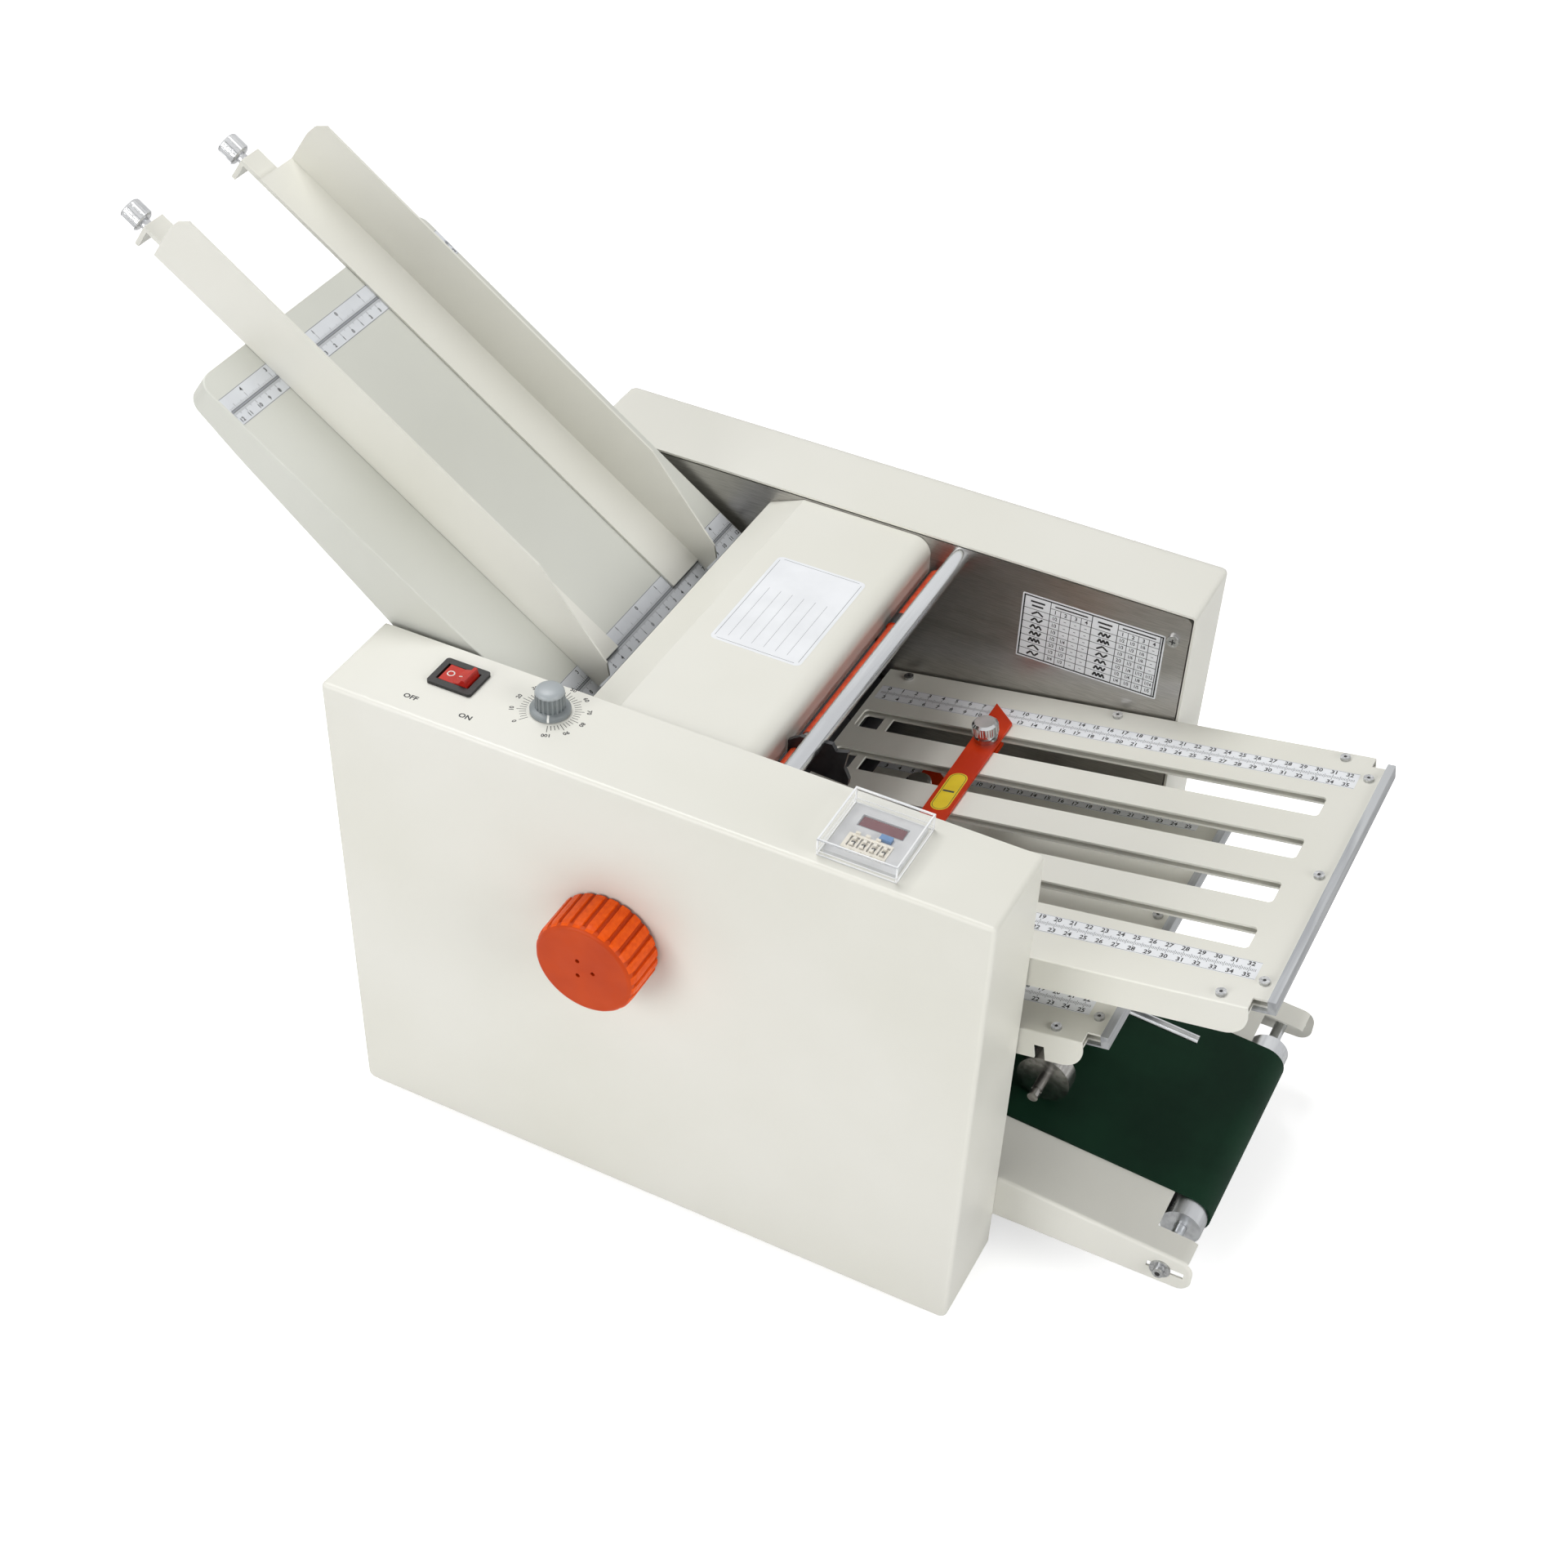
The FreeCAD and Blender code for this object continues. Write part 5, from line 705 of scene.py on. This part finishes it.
orange_paint, tree, shader = new_finish("orange_paint", tint(196, 50, 3), 0.34)
mottle(tree, shader, clouds(tree, 30.0), tint(188, 44, 2), tint(202, 54, 3))
relief(tree, shader, clouds(tree, 700.0), 0.00002, 0.4)
shader.inputs["Specular IOR Level"].default_value = 0.25
for tray in range(1, 5):
    dress(orange_paint, "tray_%d_stop_bar" % tray)
    dress(nickel, "tray_%d_stop_screw" % tray)
    ease_edges(0.0004, "tray_%d_stop_bar" % tray, "tray_%d_stop_screw" % tray)
yellow_film, tree, shader = new_finish("yellow_film", tint(226, 196, 22), 0.4)
mottle(tree, shader, clouds(tree, 60.0), tint(220, 190, 18), tint(232, 204, 30))
# What each stop stands at, in mm on its ruler, and how far over the tray's middle the bar's top lies.
SETTINGS = {1: 78, 3: 28, 2: 60, 4: 45}
BAR_TOP, BAR_MIDDLE = 5.32, 9.25

for tray, (way, zero) in TRAYS.items():
    middle = way * (zero + SETTINGS[tray] + BAR_MIDDLE)
    oval = bmesh.new()
    film(oval, -6.4, -20, 6.4, 20, 6.2)
    film(oval, -5.6, -19.2, 5.6, 19.2, 5.4, 0.02, 0.1, INK)
    film(oval, -5.2, -18.8, 5.2, 18.8, 5.0, 0.02, 0.12, 0)
    write(oval, str(tray), 0, 0, 7.8, 0.16, 90, INK, heavy=0.03)
    piece("tray_%d_number" % tray, oval, (yellow_film, black_ink), "tray_%d_stop" % tray,
          on_tray(tray, middle, BAR_TOP, 5.75))
    ribbed("tray_%d_thumb_ribs" % tray, "tray_%d_thumb" % tray, 8.4, 8.95, 6.6, 12.0, 32,
           on_tray(tray, middle, BAR_TOP, 66.0), nickel)


# Conveyor: a coated frame bent down at both sides, two rollers and a dark green belt with a fine
# woven face. Two turned steel wheels on the press arm keep the sheets flat on it.

dress(powder_coat, "conveyor_frame")
ease_edges(0.0004, "conveyor_frame")
roller_steel, tree, shader = new_finish("roller_steel", tint(198, 200, 203), 0.3, 1.0)
mottle(tree, shader, clouds(tree, 160.0, (1, 0.06, 1)), tint(188, 190, 193), tint(208, 210, 212), 0.4, 0.6)
sheen(tree, shader, clouds(tree, 80.0), 0.24, 0.36)
dress(roller_steel, "conveyor_drive_roller", "conveyor_idler_roller")
belt_cloth, tree, shader = new_finish("belt_cloth", tint(8, 38, 24), 0.6)
mottle(tree, shader, clouds(tree, 18.0), tint(6, 34, 21), tint(12, 44, 28))
shader.inputs["Specular IOR Level"].default_value = 0.12
relief(tree, shader, clouds(tree, 2600.0, (1, 0.35, 1), 1.0), 0.00006, 0.5)
dress(belt_cloth, "conveyor_belt")
dress(rod_plate, "press_arm")
wheel_steel, tree, shader = new_finish("wheel_steel", tint(176, 174, 171), 0.26, 1.0)
mottle(tree, shader, clouds(tree, 260.0, (1, 0.1, 1)), tint(156, 154, 151), tint(196, 194, 191), 0.4, 0.6)
dress(wheel_steel, "press_roller")


# Drive: a dark painted motor under the trays, its pulley and three flat belts behind the rear
# cover, and the control board behind the front one.

motor_paint, tree, shader = new_finish("motor_paint", tint(52, 54, 58), 0.48)
mottle(tree, shader, clouds(tree, 40.0), tint(44, 46, 50), tint(60, 62, 66))
relief(tree, shader, clouds(tree, 900.0), 0.00003, 0.5)
dress(motor_paint, "motor")
dress(strip_metal, "motor_pulley")
belt_rubber, tree, shader = new_finish("drive_belt_rubber", tint(34, 33, 33), 0.62)
mottle(tree, shader, clouds(tree, 300.0), tint(26, 26, 26), tint(44, 43, 43))
relief(tree, shader, clouds(tree, 1500.0), 0.00004, 0.5)
dress(belt_rubber, "drive_belts")
board, tree, shader = new_finish("board_green", tint(28, 86, 52), 0.44)
tracks = clouds(tree, 260.0, (1, 1, 5), 0.0)
mottle(tree, shader, tracks, tint(22, 70, 42), tint(44, 108, 66), 0.48, 0.52)
dress(board, "control_board")
inlet_plastic, tree, shader = new_finish("inlet_plastic", tint(26, 26, 27), 0.5)
mottle(tree, shader, clouds(tree, 120.0), tint(22, 22, 23), tint(32, 32, 33))
relief(tree, shader, clouds(tree, 1500.0), 0.00002, 0.5)
dress(inlet_plastic, "power_inlet")
ease_edges(0.0004, "power_inlet")


# Mains switch: a black snap-in bezel and a glossy red rocker, marked O and I in white. The words
# ON and OFF are printed on the cover beside it.

bezel_plastic, tree, shader = new_finish("bezel_plastic", tint(15, 15, 15), 0.5)
mottle(tree, shader, clouds(tree, 160.0), tint(12, 12, 12), tint(21, 20, 20))
relief(tree, shader, clouds(tree, 2400.0), 0.00001, 0.4)
dress(bezel_plastic, "switch_bezel")
ease_edges(0.0003, "switch_bezel")
rocker_red, tree, shader = new_finish("rocker_red", tint(186, 34, 22), 0.22)
mottle(tree, shader, clouds(tree, 60.0), tint(176, 28, 18), tint(196, 42, 28))
shader.inputs["Subsurface Weight"].default_value = 0.1
shader.inputs["Subsurface Radius"].default_value = (0.004, 0.001, 0.001)
dress(rocker_red, "switch_rocker")
ease_edges(0.0003, "switch_rocker")
white_ink, tree, shader = new_finish("white_ink", tint(236, 236, 232), 0.45)
mottle(tree, shader, clouds(tree, 700.0), tint(228, 228, 224), tint(240, 240, 236))
COVER_TOP = 360
PRINT_LIFT = 0.02
SWITCH_X, SWITCH_Y = -151.2, -151.6
RING_R = 2.2

marks = bmesh.new()
ring = [(-5.4 + RING_R * math.cos(math.tau * k / 28), RING_R * math.sin(math.tau * k / 28)) for k in range(29)]
stroke(marks, ring, 0.75, 2.16)
piece("rocker_marks", marks, white_ink, "rocker", place_at(SWITCH_X, SWITCH_Y, COVER_TOP))
dash = bmesh.new()
bar(dash, -1.3, -0.35, 1.3, 0.35)
piece("rocker_dash", dash, white_ink, "rocker", place_at(SWITCH_X + 1.6, SWITCH_Y, COVER_TOP + 2.54, (4.75, 0, 1.4)))
words = bmesh.new()
for word, x in (("OFF", -167.1), ("ON", -128.7)):
    write(words, word, x, -180.3, 3.9, wide=1.05, heavy=0.03)
piece("switch_words", words, black_ink, "machine", place_at(0, 0, COVER_TOP + PRINT_LIFT))


# Speed dial: a moulded grey knob with 20 ribs, a domed cap and a small skirt with a white pointer.
# It is pressed on the pot's stem, and its scale from 0 to 100 is printed round it on the cover.

dial_grey, tree, shader = new_finish("dial_grey", tint(126, 132, 134), 0.38)
skin = mottle(tree, shader, clouds(tree, 90.0), tint(119, 125, 127), tint(134, 140, 142))
overlay(tree, shader, banded(tree, (0.3741, 0.39), "Z"), skin, tint(162, 168, 171))
relief(tree, shader, clouds(tree, 1800.0), 0.00001, 0.4)
DIAL_X, DIAL_Y = -87.5, -150.5
# The dial's outline from below: height, radius in the grooves and radius on the ribs.
DIAL = ((0.3, 12.6, 12.6), (2.6, 12.6, 12.6), (3.4, 11.8, 11.8), (4.2, 9.8, 9.8), (4.4, 8.5, 9.5),
        (14.0, 8.2, 9.15), (14.2, 9.15, 9.15), (15.4, 8.9, 8.9), (16.5, 8.0, 8.0), (17.3, 6.2, 6.2),
        (17.8, 3.4, 3.4))
DIAL_HIGH = 18.0
AROUND = 80
CAP_FROM = 6
POINTER = ((9.9, 4.27), (11.85, 3.48), (12.68, 2.65), (12.68, 0.6))
POINTER_HALF = 0.65
ZERO_AT, MARK_STEP, MARKS = 234, 7.5, 40

moulded = bmesh.new()
levels = []
for z, groove, rib in DIAL:
    level = []
    for k in range(AROUND):
        r, angle = rib if k % 4 < 2 else groove, math.tau * (k + 0.5) / AROUND
        level.append(moulded.verts.new((r * math.cos(angle), r * math.sin(angle), z)))
    levels.append(level)
for row, (one, other) in enumerate(zip(levels, levels[1:])):
    for k in range(AROUND):
        after = (k + 1) % AROUND
        moulded.faces.new((one[k], one[after], other[after], other[k])).smooth = row >= CAP_FROM
moulded.faces.new(levels[0])
cap = moulded.verts.new((0, 0, DIAL_HIGH))
for k in range(AROUND):
    moulded.faces.new((levels[-1][k], levels[-1][(k + 1) % AROUND], cap)).smooth = True
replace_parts(piece("moulded_dial", moulded, dial_grey, "dial", place_at(DIAL_X, DIAL_Y, COVER_TOP)), "speed_dial")
pointer = bmesh.new()
for (ra, za), (rb, zb) in zip(POINTER, POINTER[1:]):
    outline = ((-POINTER_HALF, -ra, za), (-POINTER_HALF, -rb, zb), (POINTER_HALF, -rb, zb), (POINTER_HALF, -ra, za))
    pointer.faces.new([pointer.verts.new(point) for point in outline])
piece("dial_pointer", pointer, white_ink, "dial",
      place_at(DIAL_X, DIAL_Y, COVER_TOP, (0.9135, 0.4067, 0), (-0.4067, 0.9135, 0)))
scale = bmesh.new()
for mark in range(MARKS + 1):
    turned = ZERO_AT - MARK_STEP * mark
    c, s = math.cos(math.radians(turned)), math.sin(math.radians(turned))
    reach = 20.4 if mark % 4 == 0 else 18.8
    stroke(scale, [(14.6 * c, 14.6 * s), (reach * c, reach * s)], 0.42)
    if mark % 4 == 0:
        write(scale, str(mark * 100 // MARKS), 23.3 * c, 23.3 * s, 2.9, turned=turned - 90, heavy=0.03)
piece("dial_scale", scale, black_ink, "machine", place_at(DIAL_X, DIAL_Y, COVER_TOP + PRINT_LIFT))


# Batch counter: a grey panel meter under a clear lid, with a dark red window, a cream block with
# four preset wheels and their small levers, and a blue reset key.

meter_grey, tree, shader = new_finish("meter_grey", tint(196, 197, 198), 0.42)
mottle(tree, shader, clouds(tree, 80.0), tint(190, 191, 192), tint(202, 203, 204))
relief(tree, shader, clouds(tree, 1600.0), 0.00001, 0.3)
dress(meter_grey, "counter_housing")
cream_plastic, tree, shader = new_finish("cream_plastic", tint(232, 226, 212), 0.4)
mottle(tree, shader, clouds(tree, 80.0), tint(226, 220, 205), tint(236, 230, 218))
dress(cream_plastic, "preset_wheels")
COUNTER_X, COUNTER_Y = 133, -162
FIRST_WHEEL, WHEEL = -10.0, 6.3

block = bmesh.new()
film(block, -15.0, -4.8, 12.6, -2.8, 0.4, 0.8)
film(block, -15.0, -15.8, 12.6, -13.8, 0.4, 0.8)
for x0, x1 in ((-15.0, -12.8), (-7.2, -6.5), (-0.9, -0.2), (5.4, 6.1), (11.7, 12.6)):
    film(block, x0, -13.9, x1, -4.7, 0.0, 0.78)
for k in range(4):
    middle = FIRST_WHEEL + WHEEL * k
    film(block, middle - 1.4, -17.2, middle + 1.4, -15.6, 0.3, 1.9)
    if k < 3:
        film(block, middle - 1.4, -3.0, middle + 1.4, -1.4, 0.3, 1.9)
piece("preset_block", block, cream_plastic, "machine", place_at(COUNTER_X, COUNTER_Y, COVER_TOP + 3))
digits = bmesh.new()
for k, figure in enumerate("0100"):
    middle = FIRST_WHEEL + WHEEL * k
    bar(digits, middle - 1.35, -11.0, middle + 1.35, -7.7)
    write(digits, figure, middle, -9.3, 1.7, 0.03, material=1)
piece("preset_figures", digits, (black_ink, white_ink), "machine", place_at(COUNTER_X, COUNTER_Y, COVER_TOP + 2.53))
window, tree, shader = new_finish("window_red", tint(120, 60, 66), 0.12)
mottle(tree, shader, clouds(tree, 30.0), tint(108, 50, 58), tint(132, 72, 78))
pane = bmesh.new()
film(pane, -13.7, 5.8, 13.7, 14.2, 0.8, 0.5)
piece("counter_window", pane, window, "machine", place_at(COUNTER_X, COUNTER_Y, COVER_TOP + 2.02))
rim = bmesh.new()
for x0, y0, x1, y1 in ((-14.6, 14.5, 14.6, 15.1), (-14.6, 4.9, 14.6, 5.5), (-14.6, 5.5, -14.0, 14.5),
                       (14.0, 5.5, 14.6, 14.5)):
    bar(rim, x0, y0, x1, y1)
piece("window_rim", rim, pale_ink, "machine", place_at(COUNTER_X, COUNTER_Y, COVER_TOP + 3.03))
key_blue, tree, shader = new_finish("key_blue", tint(84, 128, 178), 0.38)
mottle(tree, shader, clouds(tree, 120.0), tint(76, 120, 170), tint(94, 138, 186))
dress(key_blue, "reset_key")
clear_plastic, tree, shader = new_finish("clear_plastic", tint(246, 248, 250), 0.04)
# The lid turns whiter and less clear where it is seen edge-on: painted reflection, for the light that glances off
# clear plastic.
slope = tree.nodes.new("ShaderNodeLayerWeight")
slope.inputs["Blend"].default_value = 0.25
glancing_reflection = tree.nodes.new("ShaderNodeMapRange")
glancing_reflection.inputs["To Min"].default_value = 0.0
glancing_reflection.inputs["To Max"].default_value = 0.25
tree.links.new(slope.outputs["Facing"], glancing_reflection.inputs["Value"])
tree.links.new(glancing_reflection.outputs["Result"], shader.inputs["Alpha"])
sheen(tree, shader, clouds(tree, 90.0), 0.02, 0.08)
relief(tree, shader, clouds(tree, 60.0), 0.00005, 0.2)
dress(clear_plastic, "counter_lid")
ease_edges(0.0006, "counter_lid")
# Near-opaque white strips along the lid's edges, rims and corners: painted highlight where the clear lid's edges
# catch the light.
edge_highlight_film, tree, shader = new_finish("edge_highlight_film", tint(250, 251, 252), 0.2)
mottle(tree, shader, clouds(tree, 90.0), tint(246, 248, 250), tint(254, 254, 254))
shader.inputs["Alpha"].default_value = 0.95
EDGE = 1.0
lid_low, lid_high = (corner * 1000 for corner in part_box("counter_lid"))
edges = bmesh.new()
for level, thick, wide in ((lid_high.z - EDGE, EDGE, EDGE), (lid_low.z + 3.2, 0.4, 0.3), (lid_low.z, 0.5, 0.8)):
    for y in (lid_low.y, lid_high.y - wide):
        film(edges, lid_low.x, y, lid_high.x, y + wide, 0.0, thick, level)
    for x in (lid_low.x, lid_high.x - wide):
        film(edges, x, lid_low.y + wide, x + wide, lid_high.y - wide, 0.0, thick, level)
for x in (lid_low.x, lid_high.x - EDGE):
    for y in (lid_low.y, lid_high.y - EDGE):
        film(edges, x, y, x + EDGE, y + EDGE, 0.0, lid_high.z - lid_low.z - 1.5, lid_low.z + 0.5)
piece("lid_edge_highlights", edges, edge_highlight_film, "machine")


# Screws: zinc-plated pan heads with a hexagon or a cross recess. They hold the covers, the trays
# and the belt frame, and the two with washers set the belt's tension.

screw_zinc, tree, shader = new_finish("screw_zinc", tint(186, 187, 188), 0.24, 1.0)
mottle(tree, shader, clouds(tree, 500.0), tint(164, 165, 166), tint(206, 207, 208))
dress(screw_zinc, "screws")
recess_shadow, tree, shader = new_finish("recess_shadow", tint(26, 26, 27), 0.7)
mottle(tree, shader, clouds(tree, 900.0), tint(18, 18, 19), tint(36, 36, 37))
# Each tray's length, and where its edge screws stand along its ruler, in mm.
TRAY_SCREWS = {1: (330, (7, 159, 312)), 3: (231, (7, 110, 212)), 2: (180, (7, 155)), 4: (150, (7, 125))}
TRAY_RECESS, TENSION_RECESS = 1.15, 2.0
COVER_SCREW_X, COVER_SCREWS_Z = 209.5, (35.0, 338.3)
CROSS_LONG, CROSS_HALF = 2.1, 0.45
COVER_SCREW_Y = 126.5 - 2.4 - 0.03
TENSION_X, TENSION_Z = 337, 54.5
TENSION_Y = 126.2 + 1.5 + 4 + 0.03


def hexagon(ink, x, y, r):
    """A flat dark hexagon, painted shadow in the socket of a screw's head."""
    corners = [ink.verts.new((x + r * math.cos(math.tau * k / 6), y + r * math.sin(math.tau * k / 6), 0))
               for k in range(6)]
    ink.faces.new(corners)


# The dark hexagons and crosses on the screw heads are painted shadow in their recesses.
for tray, (way, zero) in TRAYS.items():
    long, readings = TRAY_SCREWS[tray]
    recesses = bmesh.new()
    for reading in readings:
        for y in (-118, 118):
            hexagon(recesses, way * (zero + reading), y, TRAY_RECESS)
    for y in (-101, 0, 101):
        hexagon(recesses, way * (zero + long + 2), y, TRAY_RECESS)
    piece("tray_%d_recesses" % tray, recesses, recess_shadow, "machine", on_tray(tray, 0, 5.03))
for side, end in ((-1, "near"), (1, "far")):
    crosses = bmesh.new()
    for x in (-COVER_SCREW_X * side, COVER_SCREW_X * side):
        for z in COVER_SCREWS_Z:
            bar(crosses, x - CROSS_LONG, z - CROSS_HALF, x + CROSS_LONG, z + CROSS_HALF)
            bar(crosses, x - CROSS_HALF, z - CROSS_LONG, x + CROSS_HALF, z - CROSS_HALF)
            bar(crosses, x - CROSS_HALF, z + CROSS_HALF, x + CROSS_HALF, z + CROSS_LONG)
    piece("%s_cross_recesses" % end, crosses, recess_shadow, "machine",
          place_at(0, side * COVER_SCREW_Y, 0, (side, 0, 0), (0, 0, 1)))
    socket = bmesh.new()
    hexagon(socket, 0, 0, TENSION_RECESS)
    piece("%s_tension_recess" % end, socket, recess_shadow, "machine",
          place_at(TENSION_X, side * TENSION_Y, TENSION_Z, (-side, 0, 0), (0, 0, 1)))
